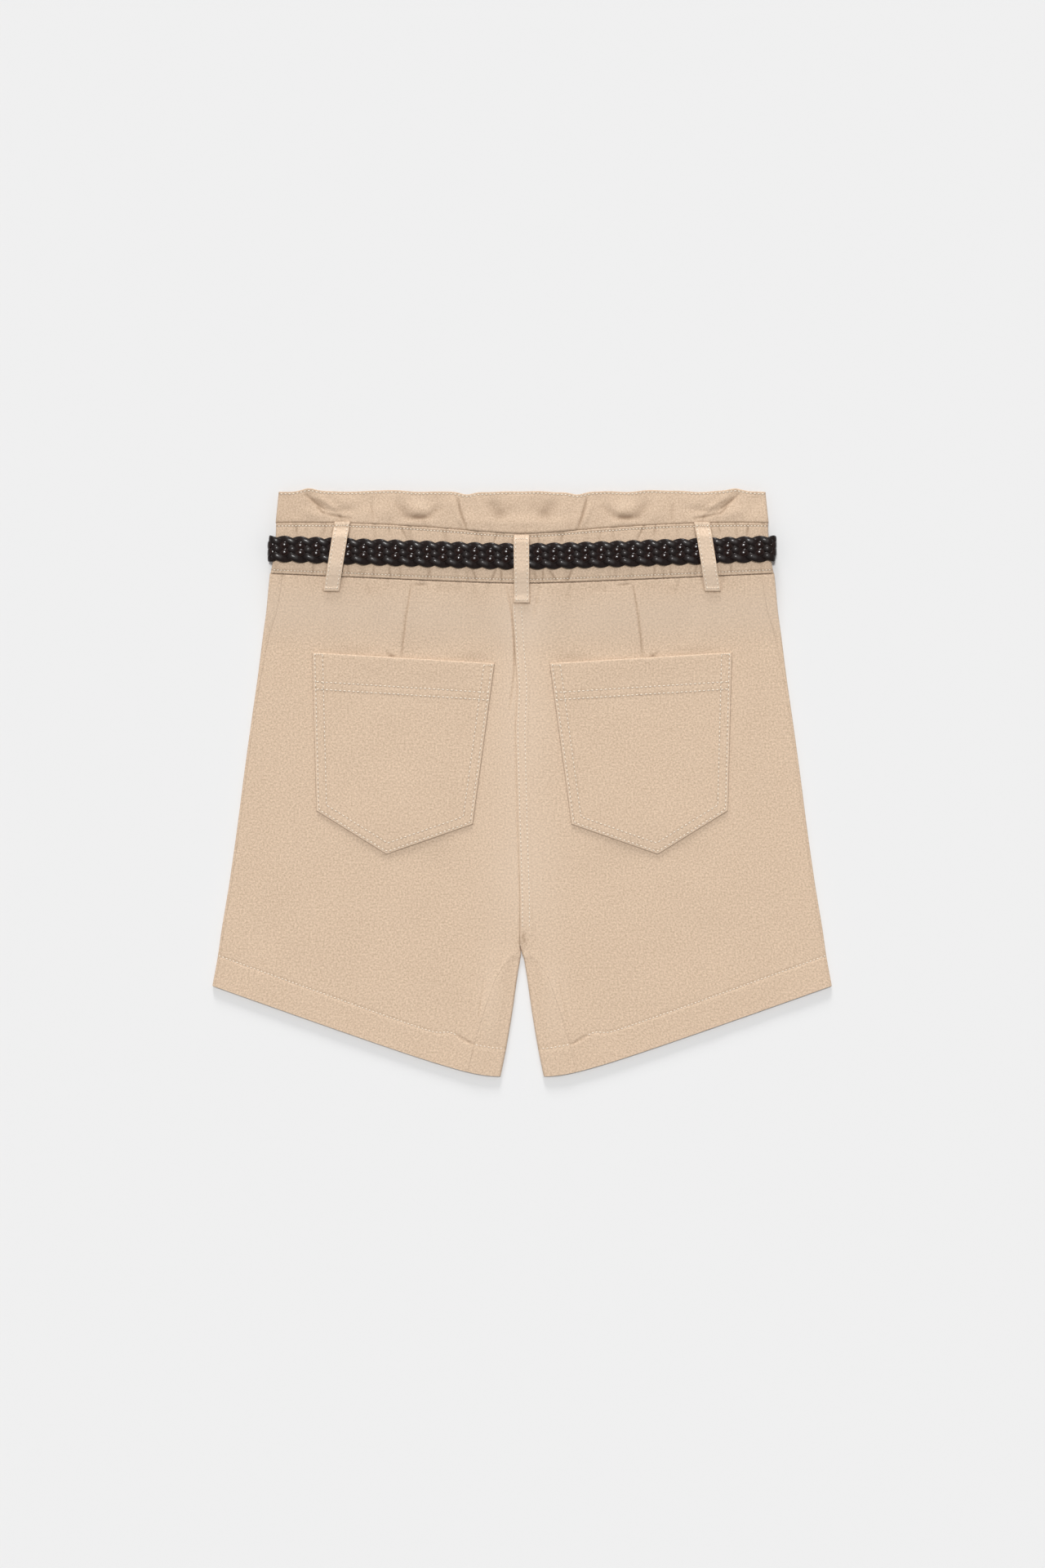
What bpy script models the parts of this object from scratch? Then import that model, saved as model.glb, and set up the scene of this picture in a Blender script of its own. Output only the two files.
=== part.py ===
# Chino shorts with a paper-bag waist and a braided belt, laid flat with the back up.
# They lie on z = 0 with the waist towards +Y, and x is 0 on the seat seam.
# Sizes are in millimetres, and a vertex is placed in metres (MM). The right side is
# worked out, and the left side is its mirror image apart from a few creases.

import math
from collections import namedtuple

import bmesh
import bpy

MM = 0.001

# Cloth and seams
CLOTH = 1.2                 # one layer of twill
BAND_CLOTH = 1.5            # front waistband
CASING_CLOTH = 2.2          # back waistband, cloth on both sides of the elastic
SEAM_GAP = 0.3
SEAM_BEND = 0.13            # how soft the dip of each seam is at the centre
REST_GAP = 0.9              # air between the front and back panels
FOLD_ROLL = 1.65            # radius of the fold along a side or inner leg
CROTCH_ROOM = 0.3           # added to the seam gap at the top of the inseam
PANEL_TOP = 2 * CLOTH + REST_GAP
RELIEF_REACH = 9.0          # creases fade out this far from a fold
RELIEF_LOWEST = -0.5        # a crease goes no deeper than this
CLEAR_OF_FOLD = 20.0        # any distance at which a fold has no effect

# Courses of the seams and the belt across the shorts: y on the centre line, how much
# higher they are at the side, half the width there, and how far they swell above that
# between the centre and the side
Course = namedtuple("Course", "middle rise half swell")
WAIST_COURSE = Course(151.3, 7.4, 191.3, 0.0)
CASING_COURSE = Course(188.6, 8.0, 187.0, 2.8)
BELT_COURSE = Course(171.3, 5.9, 193.1, 0.0)

# Waistband, laid flat
BAND_HALF = 188.3           # half width at the belt
BAND_HALF_TOP = 186.6       # half width at the seam under the ruffle
BAND_HALF_LOW = 190.8       # half width at the waist seam
BAND_ROLL = 2.0
BAND_SIDE_WRAP = 9.0        # the front waistband shows this much on the back
BAND_LOW = 5.4              # underside of the front waistband
BAND_TOP = 9.4              # outside of the back waistband
CLIMB = 46.0                # length in which the panels rise to the waistband
GATHERS = 36                # puckers of the elasticated back
GATHER_HEIGHT = 0.9

# Ruffle
RUFFLE_TOP = 220.7
RUFFLE_HALF_LOW = 187.0
RUFFLE_HALF_TOP = 184.8
RUFFLE_ROLL = 1.9
RUFFLE_SEAM_TOP = 8.8       # outside of the back ruffle at its seam
RUFFLE_EDGE_TOP = 6.2       # and at its top edge
RUFFLE_NEST = 3.6           # the front ruffle lies this far below the back one
NEST_ACROSS = (-6.0, -3.0, 0.0, 3.0, 6.0)
NEST_ALONG = (-4.0, 0.0, 4.0)

# Belt
BELT_WIDTH = 20.3
BELT_CORE = 2.2             # thickness between the strands' crowns
BELT_CROWN = 1.2            # a strand's crown above that
BELT_PITCH = 12.0           # from one strand to the next along an edge
BELT_SCALLOP = 0.35         # depth of the waves of its edges
BELT_EDGE_LIFT = 0.55       # height of its edges as a share of the core
BELT_UNDER_IN = 1.4         # its underside is this much narrower on each side
BELT_LOW = 1.3              # underside of its front run
STRAND_ROWS = 5             # crossings counted across six strands
TAB_REACH = 35.0            # each end of the braid stops this far from the centre
TAB_LAP = 17.0
TAB_WIDTH = 18.0
TAB_THICK = 1.3
TAB_CORNER = 2.0
TAB_RAISE = 0.6             # how far above the lowest place of the belt's course they lie
KEEPER_WIDTH = 9.0
KEEPER_WALL = 0.8
KEEPER_ROOM = 1.2           # clear of the tabs' edges, for its round corners
KEEPER_SQUARE = 1.25        # 1 is an ellipse, and more has flatter sides

# Loops and pockets
LOOP_WIDTH = 12.0
LOOP_CLOTH = 1.0
LOOP_REST = 0.4
LOOP_OVER = 0.8             # a loop is level up to this far beyond the belt's edge
LOOP_DOWN = 5.0             # and down on the cloth at this distance
POCKET_CLOTH = 1.2
POCKET_GAP = 0.45
POCKET_MOUTH = 0.7          # how far the mouth stands off the panel
POCKET_MOUTH_SHARE = 0.2    # share of the pocket's depth that lifts with it
HEM_GROOVE = 0.4

BELT_THICK = BELT_CORE + BELT_CROWN
BELT_TOP_REST = BAND_TOP + SEAM_GAP
LOOP_TOP = BELT_TOP_REST + BELT_THICK + SEAM_GAP + LOOP_CLOTH
LOOP_ACROSS = (-LOOP_WIDTH / 2, 0.0, LOOP_WIDTH / 2)
LOOP_ALONG = (-2.0, 0.0, 2.0)

# Right half, from the waist seam to the hem: the inner end is on the seat seam or the
# inner-leg fold and the outer end on the side fold. A wrap is how far inside the fold
# the side seam or the inseam shows on the back.
Row = namedtuple("Row", "inner_x inner_y outer_x outer_y side_wrap inseam_wrap")
ROWS = (
    Row(0.0, 151.3, 191.3, 158.7, 9.9, 0.0),
    Row(0.0, 137.0, 192.6, 146.3, 9.4, 0.0),
    Row(0.0, 120.0, 194.2, 130.2, 8.2, 0.0),
    Row(0.0, 98.0, 197.0, 110.6, 4.8, 0.0),
    Row(0.0, 62.0, 200.8, 80.6, 3.0, 0.0),
    Row(0.0, 20.0, 206.3, 42.2, 2.4, 0.0),
    Row(0.0, -28.0, 211.4, 5.0, 2.4, 0.0),
    Row(0.0, -78.0, 216.5, -34.7, 2.4, 0.0),
    Row(0.0, -124.0, 222.3, -75.6, 2.4, 0.0),
    Row(1.6, -135.2, 224.0, -86.0, 2.4, 9.0),
    Row(4.0, -150.0, 226.0, -98.0, 2.4, 16.5),
    Row(7.4, -174.0, 228.5, -113.0, 2.4, 21.5),
    Row(12.1, -202.0, 231.1, -131.4, 2.4, 25.5),
    Row(16.4, -223.2, 235.3, -154.4, 2.4, 26.0),
)
SEAT_ROW = 8                # the last one on the seat seam
HEM_ROW = 12

# A crease runs from one end to the other, bowed to its left by bow, and is near wide on
# its left and far wide on its right. Positive heights stand up. Ends are on the right
# half, and only "left" or "right" keeps a crease off the other half.
Crease = namedtuple("Crease", "from_x from_y to_x to_y bow near far height half")
PANEL_CREASES = (
    Crease(5.0, 145.0, 7.0, -140.0, 0.0, 15.0, 17.0, 1.5, "both"),
    Crease(60.0, -50.0, 138.0, -30.0, 8.0, 42.0, 26.0, 0.9, "both"),
    Crease(150.0, -62.0, 34.0, -92.0, -22.0, 12.0, 12.0, -0.55, "both"),
    Crease(6.0, -126.0, 38.0, -228.0, 2.0, 10.0, 12.0, 1.1, "both"),
    Crease(12.0, 148.0, 9.0, 54.0, -3.0, 2.6, 3.4, -0.9, "left"),
    Crease(12.0, 150.0, 9.6, 126.0, 0.0, 3.0, 4.0, -0.7, "right"),
    Crease(84.0, 152.0, 91.0, 96.0, 0.0, 7.0, 7.0, 0.6, "both"),
    Crease(128.0, 154.0, 122.0, 104.0, 3.0, 7.0, 5.0, -0.5, "both"),
    Crease(46.0, 151.0, 34.0, 104.0, -3.0, 8.0, 6.0, -0.5, "both"),
    Crease(66.0, 151.0, 60.0, 108.0, 2.0, 7.0, 7.0, 0.5, "both"),
    Crease(103.0, 99.0, 93.0, 91.0, 0.0, 3.0, 3.0, 0.5, "both"),
    Crease(172.0, 152.0, 182.0, 70.0, 0.0, 8.0, 6.0, 0.5, "both"),
)
RUFFLE_CREASES = (
    Crease(162.8, 222.0, 129.9, 200.9, 4.0, 2.2, 5.0, -2.2, "both"),
    Crease(167.0, 224.0, 142.0, 198.0, 4.0, 5.0, 5.0, 1.5, "both"),
    Crease(150.0, 224.0, 128.0, 208.0, 3.0, 6.0, 5.0, 1.4, "both"),
    Crease(114.4, 219.0, 113.0, 197.0, 0.0, 3.0, 3.0, -0.7, "both"),
    Crease(103.0, 222.0, 101.0, 198.0, 0.0, 6.0, 5.0, 1.0, "both"),
    Crease(97.0, 216.5, 60.0, 212.0, 11.3, 3.6, 3.6, -2.4, "both"),
    Crease(90.0, 219.0, 66.0, 217.0, 3.0, 5.0, 4.5, 1.5, "both"),
    Crease(50.0, 219.0, 40.6, 191.0, 0.0, 4.0, 2.4, -1.9, "both"),
    Crease(56.0, 222.0, 50.0, 196.0, 0.0, 4.0, 5.0, 1.5, "both"),
    Crease(42.0, 196.0, -42.0, 196.0, 0.0, 5.0, 6.0, 1.7, "both"),
    Crease(36.0, 221.0, 16.0, 200.0, 2.0, 5.0, 5.0, 0.9, "both"),
    Crease(19.0, 209.0, 10.0, 197.0, 0.0, 4.0, 4.0, -0.9, "both"),
)
# Bumps and notches of the ruffle's top edge
EdgeBump = namedtuple("EdgeBump", "x rise width")
EDGE_BUMPS = (EdgeBump(162.0, 2.4, 7.0), EdgeBump(42.0, -2.6, 7.0), EdgeBump(104.0, 0.8, 20.0))

# Belt loops on the back: x and y at the top and bottom ends
Loop = namedtuple("Loop", "name top_x top_y bottom_x bottom_y")
BACK_LOOPS = (
    Loop("loop_back_left", -136.2, 197.6, -144.6, 144.7),
    Loop("loop_back_centre", -0.6, 187.4, -0.2, 135.8),
    Loop("loop_back_right", 136.2, 197.4, 144.6, 144.7),
)
FRONT_LOOPS = (
    Loop("loop_front_left", -96.0, 189.8, -98.0, 144.0),
    Loop("loop_front_right", 96.0, 189.8, 98.0, 144.0),
)

# Right pocket, five corners
POCKET_TOP_IN = (20.8, 90.5)
POCKET_TOP_OUT = (159.4, 98.8)
POCKET_LOW_OUT = (156.3, -21.7)
POCKET_TIP = (103.0, -54.7)
POCKET_LOW_IN = (37.5, -31.9)
POCKET_COLUMNS = 9
POCKET_TIP_COLUMN = 5       # counted from the seat seam

# Mesh fineness
ROW_STEPS_BACK = 2
BACK_COLUMNS = 18
CASING_COLUMNS = 100
CASING_ROWS = 7
RUFFLE_COLUMNS = 74
RUFFLE_ROWS = 6
FRONT_COLUMNS = 20          # of the front waistband and ruffle, on each side of the centre
FRONT_RUFFLE_ROWS = 4
BAND_ROWS = 2
SIDE_COLUMNS = (1, 4)       # of the front pieces beyond their side seam, and round the fold
POCKET_ROWS = 8
KEEPER_CELLS = 16

CLOTH_COLOUR = (0.708, 0.533, 0.386, 1.0)
LEATHER_COLOUR = (0.022, 0.016, 0.014, 1.0)


# ---- heights of the cloth ----

def mix(low, high, share):
    return low + (high - low) * share


def ease(share):
    share = min(max(share, 0.0), 1.0)
    return share * share * (3 - 2 * share)


def dip(share):
    """A seam's course from the centre (0) to the side (1), soft at the centre."""
    reach = math.hypot(1.0, SEAM_BEND) - SEAM_BEND
    return (math.hypot(share, SEAM_BEND) - SEAM_BEND) / reach


def course_y(course, x):
    share = dip(min(abs(x) / course.half, 1.0))
    return course.middle + course.rise * share + course.swell * 4 * share * (1 - share)


def waist_y(x):
    return course_y(WAIST_COURSE, x)


def casing_y(x):
    return course_y(CASING_COURSE, x)


def belt_y(x):
    return course_y(BELT_COURSE, x)


def crease_height(crease, x, y):
    run_x = crease.to_x - crease.from_x
    run_y = crease.to_y - crease.from_y
    length = math.hypot(run_x, run_y)
    along = ((x - crease.from_x) * run_x + (y - crease.from_y) * run_y) / length ** 2
    if not 0.0 < along < 1.0:
        return 0.0
    off = ((y - crease.from_y) * run_x - (x - crease.from_x) * run_y) / length
    off -= crease.bow * 4 * along * (1 - along)
    width = crease.near if off > 0 else crease.far
    return crease.height * math.sin(math.pi * along) ** 0.7 * math.exp(-(off / width) ** 2)


def creases_at(creases, x, y):
    half = "right" if x >= 0 else "left"
    return sum(crease_height(crease, abs(x), y)
               for crease in creases if crease.half in ("both", half))


def climb_at(x, y):
    """1 at the waist seam, 0 where the panel has come down to lie flat."""
    return ease(1 - (waist_y(x) - y) / CLIMB)


def front_low(x, y):
    return BAND_LOW * climb_at(x, y)


def panel_top(x, y, to_fold):
    """Outside of the back panel. to_fold is the distance to the nearest fold."""
    relief = creases_at(PANEL_CREASES, x, y) * ease((to_fold - FOLD_ROLL) / RELIEF_REACH)
    rise = BAND_TOP - SEAM_GAP - PANEL_TOP
    return PANEL_TOP + rise * climb_at(x, y) + max(relief, RELIEF_LOWEST)


def near_loop(x, y):
    """0 under a belt loop, which holds the gathers flat, and 1 clear of it."""
    clear = min(abs(x - mix(loop.bottom_x, loop.top_x,
                            (y - loop.bottom_y) / (loop.top_y - loop.bottom_y)))
                for loop in BACK_LOOPS)
    return ease((clear - LOOP_WIDTH / 2 - 1.0) / 5.0)


def gather_height(x, y):
    pitch = 2 * BAND_HALF / GATHERS
    turn = x / pitch + 0.22 * math.sin(x * 0.11) + 0.13 * math.sin(x * 0.047 + 1.0)
    size = 0.62 + 0.38 * math.sin(x * 0.083 + 0.8)
    under_belt = ease((abs(y - belt_y(x)) - BELT_WIDTH / 2 - 0.5) / 3.0)
    return GATHER_HEIGHT * size * math.cos(math.pi * turn) ** 2 * under_belt * near_loop(x, y)


def casing_top(x, y):
    return BAND_TOP + gather_height(x, y)


def ruffle_half(share):
    return mix(RUFFLE_HALF_LOW, RUFFLE_HALF_TOP, share)


def ruffle_edge_y(x):
    return RUFFLE_TOP + sum(bump.rise * math.exp(-((abs(x) - bump.x) / bump.width) ** 2)
                            for bump in EDGE_BUMPS)


def ruffle_top(x, y):
    share = (y - casing_y(x)) / (ruffle_edge_y(x) - casing_y(x))
    base = mix(RUFFLE_SEAM_TOP, RUFFLE_EDGE_TOP, ease(share))
    to_side = ruffle_half(share) - abs(x)
    held = ease(share / 0.35 + 0.25) * ease((to_side + 2.0) / 10.0)
    return max(base + creases_at(RUFFLE_CREASES, x, y) * held, 2 * CLOTH + REST_GAP)


def ruffle_low(x, y):
    """The front ruffle follows the lowest of the back one near by, or lies on z = 0."""
    around = ((reach, step) for reach in NEST_ACROSS for step in NEST_ALONG)
    lowest = min(ruffle_top(x + reach, max(y + step, casing_y(x))) for reach, step in around)
    return max(lowest - RUFFLE_NEST, 0.0)


def back_surface(x, y):
    """Outside of whatever cloth is on the back at this place."""
    if y > casing_y(x):
        return ruffle_top(x, y)
    if y > waist_y(x):
        return casing_top(x, y)
    return panel_top(x, y, CLEAR_OF_FOLD)


# ---- folds ----

def round_fold(path, roll):
    """Inset from the fold's outermost line and the share of its half height, at a
    distance along the outside of the wall: above 0 on the back, below 0 on the front."""
    turn = path / roll
    if abs(turn) < math.pi / 2:
        return roll * (1 - math.cos(turn)), math.sin(turn)
    return roll + abs(path) - roll * math.pi / 2, math.copysign(1.0, path)


def path_of_inset(inset, roll):
    if inset >= roll:
        return roll * math.pi / 2 + inset - roll
    return roll * math.acos(1 - inset / roll)


def row_at(place):
    """The row at a place counted in rows from the waist seam, between two by mixing."""
    index = min(int(place), len(ROWS) - 2)
    share = place - index
    return Row(*(mix(a, b, share) for a, b in zip(ROWS[index], ROWS[index + 1])))


def row_point(row, inset_from_outer):
    """x and y on a row, at a distance inwards from its outer end."""
    run_x = row.outer_x - row.inner_x
    run_y = row.outer_y - row.inner_y
    length = math.hypot(run_x, run_y)
    share = 1 - inset_from_outer / length
    return row.inner_x + run_x * share, row.inner_y + run_y * dip(max(share, 0.0))


def row_length(row):
    return math.hypot(row.outer_x - row.inner_x, row.outer_y - row.inner_y)


def is_leg(row):
    return row.inseam_wrap > 0.0


def leg_point(side, row, inset, lift):
    """A place on the outside of a leg or seat tube: lift is 1 on top and -1 below."""
    x, y = row_point(row, inset)
    length = row_length(row)
    flat = min(max(inset, FOLD_ROLL), length - FOLD_ROLL if is_leg(row) else length)
    flat_x, flat_y = row_point(row, flat)
    to_fold = min(inset, length - inset) if is_leg(row) else inset
    high = panel_top(side * flat_x, flat_y, to_fold)
    low = front_low(flat_x, flat_y)
    return side * x, y, (high + low) / 2 + lift * (high - low) / 2


def hem_groove(row_place):
    return HEM_GROOVE if abs(row_place - HEM_ROW) < 0.01 else 0.0


def seam_inset_y(row_place):
    """The first row stops half a seam gap short of the waistband."""
    return SEAM_GAP / 2 * (1 - min(row_place, 1.0))


def crotch_room(row_place):
    """Extra room beside the front panel where that comes up from below."""
    return CROTCH_ROOM if SEAT_ROW < row_place <= SEAT_ROW + 1 else 0.0


def back_panel_point(side, u, v):
    """u runs from the seat seam or inseam (0) to the side seam (1), v from the waist."""
    place = v * (len(ROWS) - 1)
    row = row_at(place)
    inner_inset = row_length(row) - row.inseam_wrap - SEAM_GAP / 2 - crotch_room(place)
    inner_path = path_of_inset(inner_inset, FOLD_ROLL)
    outer_path = path_of_inset(row.side_wrap, FOLD_ROLL) + SEAM_GAP / 2
    inset, lift = round_fold(mix(inner_path, outer_path, u), FOLD_ROLL)
    x, y, z = leg_point(side, row, inset, lift)
    return x, y - seam_inset_y(place), z - hem_groove(place)


# Stations round the front panel, from its side seam on the back, under the leg, to its
# inseam, or to its seat seam where there is no inner fold. Each is a share of the way
# through a stretch of the section.
Station = namedtuple("Station", "stretch share")
FRONT_STATIONS = (
    [Station("side seam", share) for share in (0.0, 1.0)]
    + [Station("side turn", step / 2) for step in (1, 2)]
    + [Station("under side", step / 2) for step in (1, 2)]
    + [Station("underneath", step / 8) for step in range(1, 9)]
    + [Station("under inner", step / 2) for step in (1, 2)]
    + [Station("inner turn", step / 2) for step in (1, 2)]
    + [Station("inseam", 1.0)]
)
INNER_STRETCHES = ("under inner", "inner turn", "inseam")
SEAT_REACH = 3.0            # what those stretches span where there is no inner fold


def front_stretches(row):
    """Both ends of each stretch, as distances along the outside of the wall from the
    outermost line of the side fold or the inner fold: above 0 on the back."""
    quarter = FOLD_ROLL * math.pi / 2
    seam = path_of_inset(row.side_wrap, FOLD_ROLL) - SEAM_GAP / 2
    turn = min(quarter, seam)
    ends = {"side seam": (seam, turn), "side turn": (turn, 0.0), "under side": (0.0, -quarter)}
    if is_leg(row):
        inseam = path_of_inset(row.inseam_wrap, FOLD_ROLL) - SEAM_GAP / 2
        ends["under inner"] = (-quarter, 0.0)
        ends["inner turn"] = (0.0, quarter)
        ends["inseam"] = (quarter, inseam)
    return ends


def front_panel_point(side, u, v):
    place = v * (len(ROWS) - 1)
    row = row_at(place)
    station = FRONT_STATIONS[round(u * (len(FRONT_STATIONS) - 1))]
    length = row_length(row)
    if station.stretch == "underneath":
        inner_inset = length - (FOLD_ROLL if is_leg(row) else SEAT_REACH)
        inset, lift = mix(FOLD_ROLL, inner_inset, station.share), -1.0
    elif station.stretch in INNER_STRETCHES and not is_leg(row):
        part = (INNER_STRETCHES.index(station.stretch) + station.share) / 3
        inset, lift = mix(length - SEAT_REACH, length - SEAM_GAP / 2, part), -1.0
    else:
        path = mix(*front_stretches(row)[station.stretch], station.share)
        inset, lift = round_fold(path, FOLD_ROLL)
        if station.stretch in INNER_STRETCHES:
            inset = length - inset
    x, y, z = leg_point(side, row, inset, lift)
    groove = hem_groove(place) if lift > 0.5 else 0.0
    return x, y - seam_inset_y(place), z - groove


def tube_turn(path, half, roll):
    """x and the share of the half height, round the flattened waist, at a distance
    along the outside of its wall from the centre of the back."""
    inset, lift = round_fold(half - roll + roll * math.pi / 2 - abs(path), roll)
    return math.copysign(half - inset, path), lift


def tube_point(path, half, roll, y, high, low):
    """A place round the flattened waist: z is high(x, y) on the back, low(x, y) below."""
    x, lift = tube_turn(path, half, roll)
    flat_x = math.copysign(min(abs(x), half - roll), path)
    top, bottom = high(flat_x, y), low(flat_x, y)
    return x, y, (top + bottom) / 2 + lift * (top - bottom) / 2


def stations(ends, cells):
    """Shares of the way between each two ends, so that they all fall on a column."""
    spread = [ends[0]]
    for start, end, count in zip(ends, ends[1:], cells):
        spread += [mix(start, end, step / count) for step in range(1, count + 1)]
    return spread


def station_at(spread, u):
    return spread[round(u * (len(spread) - 1))]


def band_half(v):
    """Half width of the waistband, drawn in a little by the belt."""
    return mix(BAND_HALF_TOP, BAND_HALF_LOW, v * v)


def band_seam(half):
    """Path from the centre of the back to the side seam of the waistband."""
    return half - BAND_SIDE_WRAP


def casing_point(u, v):
    start = band_seam(band_half(v)) - SEAM_GAP / 2
    x = mix(-start, start, u)
    y = mix(casing_y(x) - SEAM_GAP / 2, waist_y(x) + SEAM_GAP / 2, v)
    return x, y, casing_top(x, y)


def flat_band_top(x, y):
    return BAND_TOP


def flat_band_low(x, y):
    return BAND_LOW


def front_band_point(u, v):
    """From the right side seam on the back, under the waist, to the left side seam."""
    half = band_half(v)
    flat = half - BAND_ROLL
    under = flat + BAND_ROLL * math.pi
    seam = band_seam(half) + SEAM_GAP / 2
    right = stations((seam, flat, under, under + flat), (*SIDE_COLUMNS, FRONT_COLUMNS))
    path = station_at(right + [-p for p in reversed(right[:-1])], u)
    x, lift = tube_turn(path, half, BAND_ROLL)
    y = mix(casing_y(x) - SEAM_GAP / 2, waist_y(x) + SEAM_GAP / 2, v)
    return tube_point(path, half, BAND_ROLL, y, flat_band_top, flat_band_low)


def ruffle_point(path, v):
    share = 1 - v
    half = ruffle_half(share)
    x, lift = tube_turn(path, half, RUFFLE_ROLL)
    y = mix(casing_y(x) + SEAM_GAP / 2, ruffle_edge_y(x), share)
    return tube_point(path, half, RUFFLE_ROLL, y, ruffle_top, ruffle_low)


def back_ruffle_point(u, v):
    edge = ruffle_half(1 - v) - BAND_SIDE_WRAP - SEAM_GAP / 2
    return ruffle_point(mix(-edge, edge, u), v)


def front_ruffle_point(u, v):
    """From the right side seam on the back, under the waist, to the left side seam."""
    half = ruffle_half(1 - v)
    flat = half - RUFFLE_ROLL
    under = flat + RUFFLE_ROLL * math.pi
    seam = half - BAND_SIDE_WRAP + SEAM_GAP / 2
    right = stations((seam, flat, under, under + flat), (*SIDE_COLUMNS, FRONT_COLUMNS))
    return ruffle_point(station_at(right + [-p for p in reversed(right[:-1])], u), v)


# ---- belt ----

def belt_path(distance):
    """A place on the belt's inside, at a distance from the centre of the back: x, z and
    the direction outwards in x and z."""
    side = math.copysign(1.0, distance)
    along = abs(distance)
    turn_roll = (BELT_TOP_REST - BELT_LOW - BELT_THICK) / 2
    turn_x = BELT_COURSE.half - BELT_THICK - turn_roll
    turn_z = BELT_TOP_REST - turn_roll
    turn_length = math.pi * (turn_roll + BELT_THICK / 2)
    if along < turn_x:
        return side * along, BELT_TOP_REST, 0.0, 1.0
    if along > turn_x + turn_length:
        return side * (2 * turn_x + turn_length - along), turn_z - turn_roll, 0.0, -1.0
    angle = math.pi * (along - turn_x) / turn_length
    out_x, out_z = side * math.sin(angle), math.cos(angle)
    return side * turn_x + turn_roll * out_x, turn_z + turn_roll * out_z, out_x, out_z


def belt_spread():
    turn_roll = (BELT_TOP_REST - BELT_LOW - BELT_THICK) / 2
    turn_x = BELT_COURSE.half - BELT_THICK - turn_roll
    turn_end = turn_x + math.pi * (turn_roll + BELT_THICK / 2)
    front_end = turn_end + turn_x - TAB_REACH
    quarters = 4 * round(turn_x / BELT_PITCH)
    right = stations((0.0, turn_x, turn_end, front_end), (quarters, 6, 6))
    return [-distance for distance in reversed(right[1:])] + right


def belt_section(distance, front_start):
    """Points round the braid's section: across its width, and out from its inside."""
    turn = 2 * math.pi * distance / BELT_PITCH
    relief = 1.0 if abs(distance) <= front_start else 0.0
    half = BELT_WIDTH / 2
    scallop = BELT_SCALLOP * (math.cos(turn) - 1) * relief
    points = [(-half - scallop, BELT_CORE * BELT_EDGE_LIFT)]
    for row in range(STRAND_ROWS):
        across = mix(-half, half, (row + 0.5) / STRAND_ROWS)
        crown = 0.5 + 0.5 * math.cos(turn + math.pi * (row % 2)) * relief
        points.append((across, BELT_CORE + BELT_CROWN * crown))
    points.append((half + scallop, BELT_CORE * BELT_EDGE_LIFT))
    points.append((half - BELT_UNDER_IN, 0.0))
    points.append((BELT_UNDER_IN - half, 0.0))
    return points


def make_belt():
    spread = belt_spread()
    front_start = spread[-7]
    around = len(belt_section(0.0, front_start))

    def point(u, v):
        distance = station_at(spread, u)
        across, out = belt_section(distance, front_start)[round(v * around) % around]
        x, z, out_x, out_z = belt_path(distance)
        return x + out_x * out, belt_y(x) - across, z + out_z * out

    bm = grid(len(spread) - 1, around, point)
    bmesh.ops.remove_doubles(bm, verts=bm.verts[:], dist=0.001 * MM)
    bmesh.ops.holes_fill(bm, edges=[edge for edge in bm.edges if edge.is_boundary])
    bmesh.ops.recalc_face_normals(bm, faces=bm.faces[:])
    add_object("belt_braid", bm, LEATHER_COLOUR, 0.45)


def make_strip(name, low_x, high_x, low_z, thickness, width):
    """A flat leather end, as a box with eased edges."""
    bm = bmesh.new()
    bmesh.ops.create_cube(bm, size=1.0)
    for vert in bm.verts:
        x = mix(low_x, high_x, vert.co.x + 0.5)
        y = BELT_COURSE.middle + TAB_RAISE + vert.co.y * width
        z = low_z + (vert.co.z + 0.5) * thickness
        vert.co = (x * MM, y * MM, z * MM)
    corners = [edge for edge in bm.edges
               if abs(edge.verts[0].co.z - edge.verts[1].co.z) > 0.5 * thickness * MM]
    bmesh.ops.bevel(bm, geom=corners, offset=TAB_CORNER * MM, segments=2, affect="EDGES",
                    profile=0.5)
    add_object(name, bm, LEATHER_COLOUR, 0.4)


def keeper_point(u, v):
    """A rounded ring round both tabs, standing across the belt."""
    tall = 2 * TAB_THICK + 3 * SEAM_GAP + 2 * KEEPER_WALL
    half_y = TAB_WIDTH / 2 + KEEPER_ROOM + KEEPER_WALL
    angle = 2 * math.pi * v
    y = half_y * min(max(KEEPER_SQUARE * math.cos(angle), -1.0), 1.0)
    z = tall / 2 * min(max(KEEPER_SQUARE * math.sin(angle), -1.0), 1.0)
    middle_y = BELT_COURSE.middle + TAB_RAISE
    return mix(-KEEPER_WIDTH / 2, KEEPER_WIDTH / 2, u), middle_y + y, tall / 2 + z


def make_belt_ends():
    lower = KEEPER_WALL + SEAM_GAP
    reach = TAB_REACH - SEAM_GAP
    make_strip("belt_tab_left", -reach, TAB_LAP, lower, TAB_THICK, TAB_WIDTH)
    make_strip("belt_tab_right", -TAB_LAP, reach, lower + TAB_THICK + SEAM_GAP,
               TAB_THICK, TAB_WIDTH)
    bm = grid(1, KEEPER_CELLS, keeper_point)
    bmesh.ops.remove_doubles(bm, verts=bm.verts[:], dist=0.001 * MM)
    keeper = add_object("belt_keeper", bm, LEATHER_COLOUR, 0.4)
    wall = keeper.modifiers.new("wall", "SOLIDIFY")
    wall.thickness = KEEPER_WALL * MM
    wall.offset = -1.0


# ---- loops and pockets ----

def over_belt(y, x):
    """1 across the belt's width and 0 a little way beyond its edges."""
    past = abs(y - belt_y(x)) - BELT_WIDTH / 2
    return ease((LOOP_DOWN - past) / (LOOP_DOWN - LOOP_OVER))


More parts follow.
